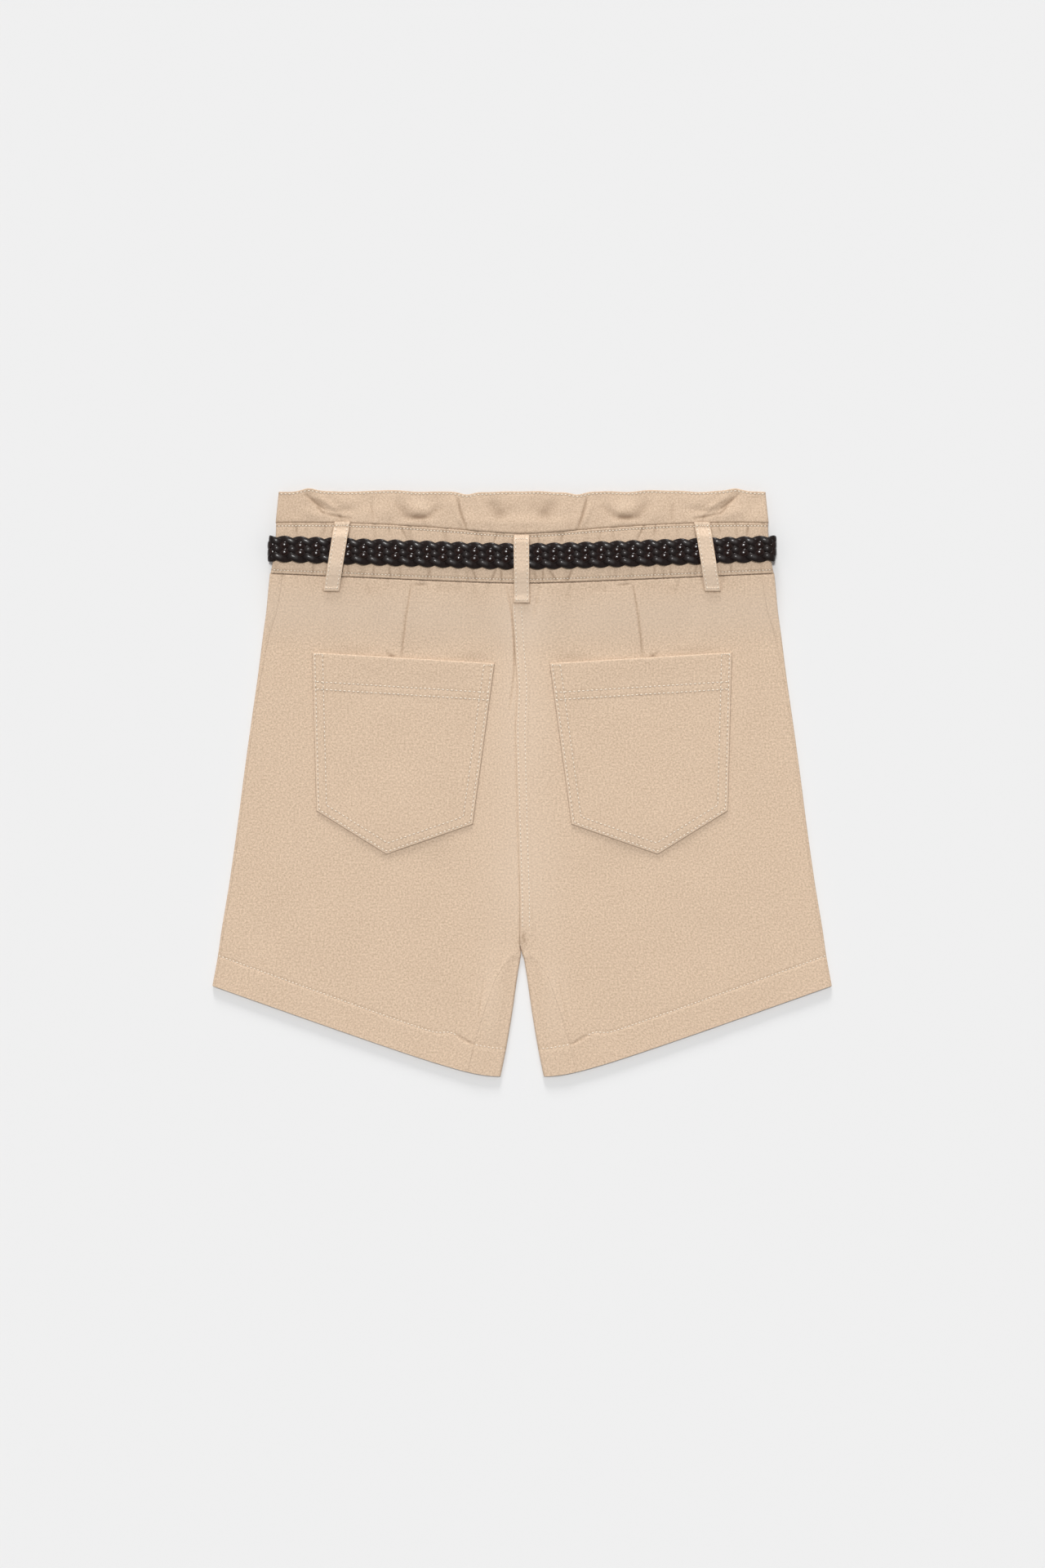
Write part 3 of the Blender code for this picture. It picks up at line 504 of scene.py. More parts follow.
class Finish:  # a material and what is built in its tree
    def __init__(self, name, colour, roughness, **constants):
        self.material = bpy.data.materials.new(name)
        self.material.use_nodes = True
        self.material.diffuse_color = (*colour, 1.0)
        self.tree = self.material.node_tree
        self.shader = self.tree.nodes["Principled BSDF"]
        self.set("Base Color", (*colour, 1.0))
        self.set("Roughness", roughness)
        for socket, value in constants.items():
            self.set(socket.replace("_", " "), value)

    def set(self, socket, value):
        plug(self.tree, self.shader.inputs[socket], value)

    def node(self, kind, settings, sockets, output=0):
        node = self.tree.nodes.new("ShaderNode" + kind)
        for name, value in settings.items():
            setattr(node, name, value)
        for name, value in sockets.items():
            plug(self.tree, node.inputs[name], value)
        return Wire(self.tree, node.outputs[output])

    def colours(self, share, low, high):
        low, high = (end if isinstance(end, Wire) else (*end, 1.0) for end in (low, high))
        return self.node("Mix", {"data_type": "RGBA"}, {0: share, 6: low, 7: high}, 2)

    def noise(self, where, scale, detail=2.0, **more):
        return self.node("TexNoise", {}, {"Vector": where, "Scale": scale, "Detail": detail, **more})

    def shade(self):  # what the piece's shade attribute says: painted shade, or painted light below 0
        return self.node("Attribute", {"attribute_name": "shade"}, {}, 2)

    def bump(self, height, strength, distance):
        sockets = {"Height": height, "Strength": strength, "Distance": distance}
        self.set("Normal", self.node("Bump", {}, sockets))


def makeTwill():
    look = {
        "dark": (0.522, 0.380, 0.264), "light": (0.766, 0.586, 0.431),
        "crease": (0.225, 0.140, 0.082),  # painted shade, in the depth of a crease and in other shaded places
        "paintedLight": (0.80, 0.645, 0.505),    # painted light, where the cloth is drawn as if it takes more light
        "rib": 0.00062,          # metres from one diagonal rib to the next
        "ribLean": 62.0,         # degrees that the ribs lean from the hem line
        # how much each noise and the ribs tell in the colour, and the tone they start from
        "grain": 1.25, "sparkle": 0.75, "mottle": 0.16, "fleck": 2.6, "ribTone": 0.10, "tone": 0.45,
    }
    made = Finish("twillCloth", (0.628, 0.466, 0.335), 0.72, Sheen_Weight=0.15, Sheen_Roughness=0.45,
                  Specular_IOR_Level=0.3)
    flat = made.node("UVMap", {"uv_map": "flatCloth"}, {})
    lean = math.radians(look["ribLean"])
    turned = made.node("Mapping", {}, {"Vector": flat, "Rotation": (0.0, 0.0, -lean)})
    streak = made.node("Mapping", {}, {"Vector": turned, "Scale": (1.0, 0.4, 1.0)})
    split = made.node("SeparateXYZ", {}, {"Vector": turned})
    uneven = made.noise(flat, 420.0, 2.0)
    phase = split * (2 * math.pi / look["rib"]) + uneven * 5.0
    rib = phase.maths("SINE", phase) * 0.5 + 0.5
    grain = made.noise(streak, 1250.0, 3.0, Roughness=0.65)
    sparkle = made.noise(flat, 1900.0, 1.0)
    mottle = made.noise(flat, 26.0, 3.0)
    fleck = made.noise(flat, 700.0, 2.0, Roughness=0.7)
    tone = (grain - 0.5) * look["grain"] + (sparkle - 0.5) * look["sparkle"]
    tone = tone + (mottle - 0.5) * look["mottle"] + (fleck - 0.5) * look["fleck"]
    tone = tone + rib * look["ribTone"] + look["tone"]
    shade = made.shade()
    woven = made.colours(tone, look["dark"], look["light"])
    # the shade attribute paints light below 0 and shade above it
    paintedLit = made.colours(shade * -1.0, woven, look["paintedLight"])
    made.set("Base Color", made.colours(shade, paintedLit, look["crease"]))
    made.set("Roughness", grain * 0.22 + 0.58)
    made.bump(rib * 0.5 + grain * 0.8 + uneven * 0.25, 0.4, 0.00025)
    return made.material


def makeThread(name, light, dark, end):
    made = Finish(name, light, 0.55, Sheen_Weight=0.3, Sheen_Roughness=0.4)
    where = made.node("TexCoord", {}, {}, 3)
    ply = made.noise(where, 2600.0, 2.0)
    # the last colour is painted shade at a stitch's ends, where it goes into the cloth
    made.set("Base Color", made.colours(made.shade(), made.colours(ply, dark, light), end))
    made.bump(ply, 0.4, 0.0001)
    return made.material


def makeLeather():
    look = {
        "dark": (0.0055, 0.0018, 0.0012), "light": (0.018, 0.0062, 0.0044),
        "between": (0.0012, 0.0006, 0.0005),  # painted shade, down between the strands
        "polish": 0.13, "dulled": 0.58,       # roughness on top and down between them
        "coat": 0.25,
    }
    made = Finish("darkLeather", (0.009, 0.0042, 0.0033), 0.30, Coat_Weight=0.2, Coat_Roughness=0.12,
                  Specular_IOR_Level=0.22)
    where = made.node("TexCoord", {}, {}, 3)
    patch = made.noise(where, 150.0, 3.0)
    pore = made.node("TexVoronoi", {"feature": "DISTANCE_TO_EDGE"}, {"Vector": where, "Scale": 1900.0})
    wrinkle = made.noise(where, 900.0, 3.0)
    # depth is painted shade down between the strands and on the strands that lean one way, which are also
    # rougher and less coated
    depth = made.shade()
    hide = made.colours(patch, look["dark"], look["light"])
    made.set("Base Color", made.colours(depth, hide, look["between"]))
    made.set("Roughness", wrinkle * 0.22 + depth * (look["dulled"] - look["polish"]) + look["polish"])
    made.set("Coat Weight", depth * -look["coat"] + look["coat"])
    made.bump(pore * 0.8 + wrinkle * 0.7, 0.25, 0.00010)
    return made.material


twill = makeTwill()
# the last colour of each thread is the painted shade at a stitch's ends
thread = makeThread("creamThread", (0.95, 0.86, 0.73), (0.84, 0.73, 0.59), (0.20, 0.125, 0.075))
# painted shade: a darkened copy of the thread for the rows down in the seams' ditches
ditchThread = makeThread("ditchShadeThread", (0.30, 0.205, 0.135), (0.20, 0.13, 0.085), (0.10, 0.06, 0.04))
leather = makeLeather()
print("materials made")


# Panels

# Width, length and area of each flat cut in metres, and its cells from stop to stop
panels = {
    "backCut": (0.245, 0.385, 0.0725), "frontCut": (0.270, 0.375, 0.0790),
    "backAcross": ((0.0, 0.07, 0.425, 0.475, 0.95, 1.0), (30, 40, 20, 50, 8)),
    "backDown": ((0.0, 0.02, 0.11, 0.88, 0.965, 1.0), (6, 20, 104, 34, 8)),
    "frontDown": ((0.0, 0.11, 0.87, 1.0), (14, 72, 20)),
    "seatReach": 3.0,        # what the inner stretches span where there is no inner fold
    "crumple": 0.22,         # unevenness of the underside
}
# Stretches of the front panel round its section, from its side seam on the back, under
# the leg, to its inseam on the back: cells in each
frontStretches = (("sideStrip", 6), ("sideTurn", 4), ("underSide", 4), ("underneath", 72),
                  ("underInner", 4), ("innerTurn", 4), ("innerStrip", 16))
frontCells = sum(count for name, count in frontStretches)


def seamDip(toEdge):  # an edge of a piece turns down into its seam
    return 0.2 * bell(toEdge, 0.7)


def inseamDip(toEdge, place):  # pressed flat, and least seen near the crotch
    share = mix(0.1, 0.7, ease((place - crotchRow - 2.0) / 2.0))
    return seamDip(toEdge) * share * (place > crotchRow)


def backPanel(side, u, v):
    roll = cloth["foldRoll"]
    place = v * (len(rowTable) - 1)
    row = rowsAt(place)
    under = cloth["tuckUnder"] * fade(place, 0.25)
    row[1], row[3] = row[1] + under, row[3] + under
    length = np.hypot(row[2] - row[0], row[3] - row[1])
    inner = pathOfInset(length - row[5] - cloth["seamGap"] / 2, roll)
    outer = pathOfInset(row[4], roll) + cloth["seamGap"] / 2
    path = mix(inner, outer, u)
    inset, lift = roundFold(path, roll)
    dipIn = inseamDip(inner - path, place)
    x, y, z = onLeg(side, place, row, inset, lift, dipIn + seamDip(path - outer))
    return x, y, z, side * (length - path), y, panelShade(x, y)


def frontPanel(side, u, v):
    roll = cloth["foldRoll"]
    quarter = roll * math.pi / 2
    place = v * (len(rowTable) - 1)
    row = rowsAt(place)
    length = np.hypot(row[2] - row[0], row[3] - row[1])
    gap = cloth["seamGap"] / 2
    seam = pathOfInset(row[4], roll) - gap
    inseam = np.maximum(pathOfInset(row[5], roll) - gap, 0.0)
    turn = np.minimum(quarter, seam)
    innerTurn = np.minimum(quarter, inseam)
    legForm = ease((place - crotchRow + 0.5) / 0.5)
    outerEnds = {"sideStrip": (seam, turn), "sideTurn": (turn, 0.0), "underSide": (0.0, -quarter)}
    innerEnds = {"underInner": (-quarter, 0.0), "innerTurn": (0.0, innerTurn),
                 "innerStrip": (innerTurn, inseam)}
    found = np.zeros((3, *u.shape))  # inset, lift and dip into a seam
    start = 0
    for name, count in frontStretches:
        share = u * frontCells - start
        here = (share >= -0.001) & (share <= count + 0.001)
        share = np.clip(share / count, 0.0, 1.0)
        start += count
        if name in outerEnds:
            path = mix(*outerEnds[name], share)
            inset, lift = roundFold(path, roll)
            sewn = seamDip(seam - path)
        elif name == "underneath":
            inset = mix(roll, length - mix(panels["seatReach"], roll, legForm), share)
            lift, sewn = 0.0 * u - 1.0, 0.0 * u
        else:
            path = mix(*innerEnds[name], share)
            past, lift = roundFold(path, roll)
            done = (list(innerEnds).index(name) + share) / len(innerEnds)
            seat = length - mix(panels["seatReach"], gap, done)
            inset = mix(seat, length - past, legForm)
            lift = mix(-1.0, lift, legForm)
            sewn = inseamDip(inseam - path, place)
        found = np.where(here, np.stack((inset, lift, sewn)), found)
    inset, lift, sewn = found
    x, y, z = onLeg(side, place, row, inset, lift, sewn)
    under = np.clip(-lift, 0.0, 1.0)
    crumple = panels["crumple"] * (1 + cloud(x, y, 34.0, 41)) + 0.12 * (1 + cloud(x, y, 14.0, 42))
    z = z + np.maximum(crumple, 0.0) * under * ease(np.minimum(inset, length - inset) / 8.0)
    across = side * (length * 2 - inset * np.where(lift > 0, -1, 1))
    return x, y, z, across, y, panelShade(x, y) * ease(lift)


def makePanels():
    across, down = spread(*panels["backAcross"]), spread(*panels["backDown"])
    frontAcross, frontDown = np.linspace(0, 1, frontCells + 1), spread(*panels["frontDown"])
    for side, name in ((-1, "left"), (1, "right")):
        mesh = bentGrid("backPanel", across, down, lambda u, v: backPanel(side, u, v), side < 0)
        addCloth("backPanel_" + name, mesh, cloth["shell"], "back_" + name)
        mesh = bentGrid("frontPanel", frontAcross, frontDown, lambda u, v: frontPanel(side, u, v), side < 0)
        addCloth("frontPanel_" + name, mesh, cloth["shell"], "front_" + name)
    print("panels cut")


# Waistband and ruffle

band = {
    "backCut": (0.43, 0.039, None), "frontCut": (0.40, 0.039, None),
    "halfTop": 186.6, "halfLow": 190.8,   # half its width at its upper and lower seam
    "roll": 2.0,             # radius of its side fold
    "shell": 1.5, "frontShell": 0.9,
    "gatherHeight": 0.4,
    "upperRow": 2.4, "lowerRow": 2.5,     # stitch rows, from the upper and the lower seam
    "groove": 0.4,           # how deep they draw the cloth in
    "fullness": 1.18,        # flat cloth for each length that shows
    "foldCells": 0.2,        # share of the front's cells that its side folds take
    "frontShade": 0.05,
    # sharp puckers above and below the belt, in the panels' terms
    "lines": (
        (171.5, 196.5, 170.5, 186.0, 0.0, 0.8, 0.5, 0.42, 0),
        (93.0, 195.0, 86.5, 183.0, 0.0, 0.8, 0.6, 0.45, 0),
        (101.5, 195.0, 99.5, 186.0, 0.0, 0.8, 0.4, 0.25, 0),
        (148.0, 198.0, 150.5, 187.0, 0.0, 0.8, 0.4, 0.25, 0),
        (60.5, 192.5, 58.0, 182.5, 0.0, 0.8, 0.4, 0.25, 0),
        (31.5, 190.0, 29.5, 181.5, 0.0, 0.8, 0.5, 0.32, 0),
        (19.0, 189.5, 21.5, 181.0, 0.0, 0.8, 0.5, 0.35, -1),
        (11.5, 189.0, 13.0, 181.0, 0.0, 0.8, 0.5, 0.35, 1),
        (158.0, 168.0, 159.0, 157.0, 0.0, 0.8, 0.5, 0.4, 0),
        (132.5, 167.0, 131.0, 155.5, 0.0, 0.8, 0.5, 0.4, 0),
        (112.0, 165.0, 113.5, 154.5, 0.0, 0.8, 0.4, 0.32, 0),
        (101.0, 165.0, 99.5, 154.0, 0.0, 0.8, 0.5, 0.38, 0),
        (70.0, 163.5, 71.5, 154.0, 0.0, 0.8, 0.4, 0.22, 0),
        (38.5, 163.0, 34.0, 152.0, 0.0, 0.9, 0.6, 0.5, 0),
        (19.5, 162.5, 23.5, 152.0, 0.0, 0.9, 0.6, 0.5, -1),
        (15.9, 162.5, 15.6, 151.0, 0.0, 0.8, 0.6, 0.5, 0),
        (8.5, 162.0, 11.0, 153.5, 0.0, 0.8, 0.5, 0.45, 1),
        (19.5, 162.5, 26.5, 152.0, 0.0, 0.9, 0.6, 0.5, 1),
    ),
}
ruffle = {
    "cut": (0.41, 0.034, None),
    "topY": 220.7, "halfLow": 187.0, "halfTop": 184.8, "roll": 1.9,
    "seamTop": 9.2, "edgeTop": 6.8,       # its outside at the casing and at its free edge
    "nest": 3.6,             # how far under that the front ruffle lies
    "lowest": 3.3,
    "fullness": 1.1, "foldCells": 0.14,   # as in the waistband
    "edgeRow": 1.8,          # stitch row, from the free edge
    # where the free edge rises or dips: x, how much and how wide
    "bumps": ((162.0, 2.4, 7.0), (42.0, -2.6, 7.0), (104.0, 0.8, 20.0)),
    "creases": (
        (165.5, 220.0, 146.0, 204.0, 0.6, 1.6, 3.4, -1.2, 0),
        (160.0, 218.0, 136.0, 202.8, -1.0, 2.2, 2.6, 1.0, 0),
        (148.0, 205.4, 126.0, 207.0, 0.0, 2.6, 2.6, -0.8, 0),
        (150.0, 222.0, 122.0, 212.0, 3.0, 5.0, 5.0, 0.9, 0),
        (168.0, 207.0, 150.0, 200.0, 0.0, 4.0, 4.0, 0.7, 0),
        (114.4, 217.0, 113.0, 196.0, 0.0, 2.4, 2.4, -0.5, 0),
        (104.0, 222.0, 102.0, 197.0, 0.0, 6.0, 5.0, 0.7, 0),
        (92.0, 207.5, 65.0, 208.5, 0.0, 7.0, 5.0, 0.35, 0),
        (97.0, 215.0, 84.0, 202.0, 0.0, 4.6, 4.0, -0.6, 0),
        (73.0, 202.5, 59.5, 210.5, 0.0, 4.0, 4.6, -0.6, 0),
        (93.0, 201.2, 65.0, 201.2, 1.0, 4.0, 3.4, -0.6, 0),
        (92.0, 196.5, 66.0, 196.5, 0.0, 3.0, 3.0, 0.9, 0),
        (53.5, 216.0, 45.5, 193.0, 0.4, 2.6, 2.2, 1.0, 0),
        (45.0, 197.0, -45.0, 197.0, 0.0, 5.0, 5.0, 1.0, 0),
        (36.0, 221.0, 27.0, 202.0, 2.0, 5.0, 5.0, 0.7, 0),
        (22.5, 212.5, 13.5, 198.5, 0.0, 4.2, 4.2, -0.8, 0),
        (178.0, 220.0, 172.0, 200.0, 1.0, 4.0, 3.0, -0.4, 0),
        (4.0, 219.0, 3.0, 204.0, 0.0, 5.0, 5.0, 0.4, 0),
    ),
    "lines": (
        (165.0, 219.2, 147.2, 205.2, 0.5, 0.9, 0.8, 0.42, 0),
        (155.5, 209.4, 149.6, 203.8, 0.3, 0.9, 0.7, 0.55, 0),
        (151.5, 204.6, 129.0, 200.0, 0.5, 0.9, 0.7, 0.5, 0),
        (114.4, 212.0, 113.3, 195.5, -0.3, 0.8, 0.35, 0.24, 0),
        (95.8, 213.0, 86.0, 202.6, 0.8, 2.4, 0.3, 0.12, 0),
        (90.0, 201.8, 68.5, 202.4, 1.0, 2.2, 0.3, 0.34, 0),
        (84.0, 201.0, 72.0, 201.2, 0.6, 1.3, 0.2, 0.3, 0),
        (71.0, 202.4, 60.0, 209.8, 0.0, 2.2, 0.3, 0.14, 0),
        (49.2, 216.5, 41.0, 189.5, 0.7, 0.85, 1.0, 0.55, 0),
        (139.0, 203.5, 136.0, 197.0, 0.0, 0.8, 0.3, 0.25, 0),
    ),
    # painted shade in the frill's hollows, and painted light below 0 on its ridges
    "patches": (
        (79.0, 202.6, 10.5, 3.2, 0.28), (88.0, 206.5, 5.0, 5.0, 0.12), (80.0, 213.0, 7.0, 5.0, -0.14),
        (74.0, 209.0, 5.0, 3.0, -0.14), (17.5, 204.6, 5.5, 5.0, 0.42), (23.0, 211.5, 5.5, 4.0, 0.20),
        (9.0, 209.0, 4.0, 3.0, 0.14), (139.0, 206.2, 9.0, 1.8, 0.16), (92.0, 208.5, 4.0, 5.0, 0.10),
        (66.0, 206.5, 3.5, 4.0, 0.12), (153.0, 213.0, 7.0, 3.0, 0.10), (37.0, 198.0, 8.0, 4.0, 0.08),
        (58.0, 203.0, 4.0, 9.0, 0.06), (150.0, 206.6, 4.0, 1.2, -0.12),
    ),
    "tone": 0.095,           # painted shade over the whole frill, which is drawn darker than the legs
    "leftShade": 0.09, "leftX": -150.0,    # and more painted shade on its left end, from there on
    "droop": 42.0,           # half the stretch at the centre where it hangs over the casing
}
loops = {
    "cut": (0.0121, 0.060, None), "width": 12.0, "cloth": 0.8,
    "shell": 1.0, "rest": 0.4,            # room for its cloth, and air under it
    "highest": 14.4,         # where it goes over the belt
    "reachUp": 7.5, "reachDown": 19.0,    # how far it slopes beyond the belt's edges
    "rowIn": 1.7, "rowEnd": 1.4,          # its stitch rows, from its sides and its ends
    "topBar": 3.0, "lowBar": 2.4, "barHalf": 4.4,   # bar tacks, from its ends, and half of one
    "paintedPale": 0.3,            # painted light: its cloth is drawn paler than the casing's
    # x and y of the upper end and of the lower end
    "back": {"left": (-136.2, 197.6, -144.6, 144.7), "centre": (-0.6, 187.4, -0.2, 135.8),
             "right": (136.2, 197.4, 144.6, 144.7)},
    "front": {"left": (-96.0, 189.8, -98.0, 144.0), "right": (96.0, 189.8, 98.0, 144.0)},
}
# Half is at its outermost, rest its underside on the back, low its outside under the front
belt = {"width": 20.3, "thick": 3.4, "half": 193.1, "rest": 9.7, "low": 1.3, "tabReach": 35.0}


def loopMiddle(loop, y):
    topX, topY, lowX, lowY = loop
    return mix(lowX, topX, (y - lowY) / (topY - lowY))


def nearLoop(x, y):  # 0 under a belt loop, which holds the gathers flat
    clear = np.minimum.reduce([np.abs(x - loopMiddle(loop, y)) for loop in loops["back"].values()])
    return ease((clear - loops["width"] / 2 - 1.0) / 5.0)


def loopShadowLines(x, y):  # painted shadow: the thin dark line where a loop lies on the cloth
    dark = 0.0
    for loop in loops["back"].values():
        topY, lowY = loop[1], loop[3]
        off = np.abs(x - loopMiddle(loop, y)) - loops["width"] / 2
        beside = bell(off - 0.2, 0.6) * ease(y - lowY + 0.7) * ease(topY + 0.7 - y)
        below = bell(y - lowY + 0.3, 0.6) + bell(topY + 0.3 - y, 0.5)
        dark = dark + 0.42 * np.maximum(beside, below * ease(0.8 - off))
    return dark


def bandWave(x, y):  # the casing's puckers, which differ above and below the belt
    return gatherWave(x + np.where(y > courseY(beltCourse, x), 0.0, 37.0) + 0.05 * y)


def acrossCasing(x, y):  # how far below its upper seam, above its lower one, clear of the belt
    clear = ease((np.abs(y - courseY(beltCourse, x)) - belt["width"] / 2 + 2.0) / 3.0)
    return courseY(casingCourse, x) - y, y - courseY(waistCourse, x), clear * nearLoop(x, y)


def bandRows(fromTop, fromLow, width):  # 1 on a row of stitches
    return bell(fromTop - band["upperRow"], width) + bell(fromLow - band["lowerRow"], width)


def casingTop(x, y):
    fromTop, fromLow, clear = acrossCasing(x, y)
    relief = band["gatherHeight"] * bandWave(x, y) + thinCreases(band["lines"], x, y)[0]
    relief += 0.2 * fineWave(x, 17) * bandRows(fromTop, fromLow, 3.2) + 0.05 * cloud(x, y, 9.0, 18)
    edge = 1.7 * ease((0.6 - fromTop) / 1.1) + 0.5 * fade(fromLow, 0.9)
    return cloth["bandTop"] - relief * clear - band["groove"] * bandRows(fromTop, fromLow, 0.7) - edge


# painted shade in the casing's puckers and creases, in its stitch rows, under the frill's edge and beside
# the loops
def casingShade(x, y):
    fromTop, fromLow, clear = acrossCasing(x, y)
    dark = thinCreases(band["lines"], x, y)[1] + 0.2 * bandWave(x, y) * clear + loopShadowLines(x, y)
    dark += 0.10 * bell(fromTop - 5.0, 4.0) + 0.35 * ease((0.7 - fromTop) / 0.8)
    return dark + 0.5 * bandRows(fromTop, fromLow, 0.7)


def ruffleHalf(share):
    return mix(ruffle["halfLow"], ruffle["halfTop"], share)


def ruffleEdge(x):
    edge = ruffle["topY"] + 0.35 * wander(x, 38.0, 23)
    for at, rise, width in ruffle["bumps"]:
        edge = edge + rise * bell(np.abs(x) - at, width)
    return edge


def frillGathers(x, up):  # up is the distance above the casing
    return gatherWave(x * 1.03 + 0.12 * up)


def ruffleTop(x, y):
    seam = courseY(casingCourse, x)
    share = (y - seam) / (ruffleEdge(x) - seam)
    up = y - seam
    down = ruffleEdge(x) - y
    base = mix(ruffle["seamTop"], ruffle["edgeTop"], ease(share))
    base = base + 0.7 * ease((ruffle["droop"] - np.abs(x)) / 4.0) * bell(up, 7.0)
    toSide = ruffleHalf(share) - np.abs(x)
    held = ease(share / 0.35 + 0.25) * ease((toSide + 2.0) / 10.0)
    relief = (creaseRelief(ruffle["creases"], x, y) - thinCreases(ruffle["lines"], x, y)[0]) * held
    relief -= 0.4 * frillGathers(x, up) * bell(up, 8.0) * ease((toSide - 4.0) / 8.0)
    relief -= 0.2 * fineWave(x, 27) * bell(up - 1.0, 3.4) * ease((toSide - 4.0) / 6.0)
    relief += (0.16 * cloud(x, y, 22.0, 28) + 0.04 * cloud(x, y, 8.0, 29)) * ease(toSide / 8.0)
    row = 0.25 * bell(down - ruffle["edgeRow"], 0.6)
    turned = 0.7 * (1 - roundOff(down / 0.8))
    tuck = 0.5 * fade(up, 1.2)
    return np.maximum(base + relief - row - turned - tuck, ruffle["lowest"])


# painted shade in the frill's creases, patches, gathers, seam and stitch row, and painted light along its
# free edge
def ruffleShade(x, y):
    up = y - courseY(casingCourse, x)
    down = ruffleEdge(x) - y
    dark = ruffle["tone"] + ruffle["leftShade"] * ease((ruffle["leftX"] - x) / 14.0)
    dark = dark + thinCreases(ruffle["lines"], x, y)[1] + patches(ruffle["patches"], x, y)
    dark += 0.12 * frillGathers(x, up) * bell(up, 6.0) + 0.4 * bell(up, 0.7)
    return dark + 0.2 * bell(down - ruffle["edgeRow"], 0.6) - 0.1 * bell(down, 0.6)


def ruffleLow(x, y):  # the front ruffle follows the lowest of the back one near by
    lowest = np.inf
    for reach in (-6.0, -3.0, 0.0, 3.0, 6.0):
        for step in (-4.0, 0.0, 4.0):
            near = np.maximum(y + step, courseY(casingCourse, x) + 1.3)
            lowest = np.minimum(lowest, ruffleTop(x + reach, near))
    return np.maximum(lowest - ruffle["nest"], 0.0)


def foldSeam(half, roll):  # the distance round to the side fold, where the side seam runs
    return half - roll + roll * math.pi / 2


def tubeTurn(path, half, roll):  # from a distance round the flattened waist to x, lift
    inset, lift = roundFold(foldSeam(half, roll) - np.abs(path), roll)
    return np.copysign(half - inset, path), lift


def onTube(path, half, roll, y, high, low):
    x, lift = tubeTurn(path, half, roll)
    flatX = np.copysign(np.minimum(np.abs(x), half - roll), path)
    top, bottom = high(flatX, y), low(flatX, y)
    return x, (top + bottom) / 2 + lift * (top - bottom) / 2


def overBack(half, roll, u):  # path from the left side seam over the back to the right one
    edge = foldSeam(half, roll) - cloth["seamGap"] / 2
    return mix(-edge, edge, u)


def roundFront(half, roll, u, fine):
    # Path from the right side seam, under the waist, to the left one. The fold takes the
    # first and last of the cells, a share of fine of each half.
    seam = foldSeam(half, roll) + cloth["seamGap"] / 2
    flat = half - roll
    under = flat + roll * math.pi
    share = 1 - np.abs(2 * u - 1)
    path = np.where(share < fine, mix(seam, under, share / fine),
                    mix(under, under + flat, (share - fine) / (1 - fine)))
    return np.where(u <= 0.5, path, -path)


def frontBandLow(x, y):
    sewn = bandRows(courseY(casingCourse, x) - y, y - courseY(waistCourse, x), 0.9)
    return cloth["bandLow"] + 0.25 * sewn + 0.12 * (1 + cloud(x, y, 20.0, 45))


def bandHalf(v):
    return mix(band["halfTop"], band["halfLow"], v * v)


def onBand(path, v, above):  # above is how far its upper edge runs on past the seam
    half = bandHalf(v)
    x = tubeTurn(path, half, band["roll"])[0]
    y = mix(courseY(casingCourse, x) + above, courseY(waistCourse, x) + cloth["seamGap"] / 2, v)
    x, z = onTube(path, half, band["roll"], y, casingTop, frontBandLow)
    return x, y, z


def backBand(u, v):
    path = overBack(bandHalf(v), band["roll"], u)
    x, y, z = onBand(path, v, cloth["tuckUnder"])
    return x, y, z, path * band["fullness"], y, casingShade(x, y)


def frontBand(u, v):
    path = roundFront(bandHalf(v), band["roll"], u, band["foldCells"])
    x, y, z = onBand(path, v, -cloth["seamGap"] / 2)
    return x, y, z, path, y, band["frontShade"]


def onRuffle(path, v):
    share = 1 - v
    half = ruffleHalf(share)
    x, lift = tubeTurn(path, half, ruffle["roll"])
    y = mix(courseY(casingCourse, x) + cloth["seamGap"] / 2, ruffleEdge(x), share)
    x, z = onTube(path, half, ruffle["roll"], y, ruffleTop, ruffleLow)
    return x, y, z, path * ruffle["fullness"], y, ruffleShade(x, y) * ease(lift + 1.0)


def backRuffle(u, v):
    return onRuffle(overBack(ruffleHalf(1 - v), ruffle["roll"], u), v)


def frontRuffle(u, v):
    return onRuffle(roundFront(ruffleHalf(1 - v), ruffle["roll"], u, ruffle["foldCells"]), v)


def makeWaist():
    down = spread((0.0, 0.16, 0.84, 1.0), (10, 14, 9))
    mesh = bentGrid("backBand", np.linspace(0, 1, 641), down, backBand)
    addCloth("waistband_back_cloth", mesh, band["shell"], "waistband_back")
    mesh = bentGrid("frontBand", np.linspace(0, 1, 241), np.linspace(0, 1, 25), frontBand)
    addCloth("waistband_front_cloth", mesh, band["frontShell"], "waistband_front")
    down = spread((0.0, 0.09, 0.88, 1.0), (5, 26, 6))
    mesh = bentGrid("backRuffle", np.linspace(0, 1, 561), down, backRuffle)
    addCloth("ruffle_back_cloth", mesh, cloth["shell"], "ruffle_back")
    down = spread((0.0, 0.09, 1.0), (4, 20))
    mesh = bentGrid("frontRuffle", np.linspace(0, 1, 301), down, frontRuffle)
    addCloth("ruffle_front_cloth", mesh, cloth["shell"], "ruffle_front")
    print("waist gathered")


# Pockets

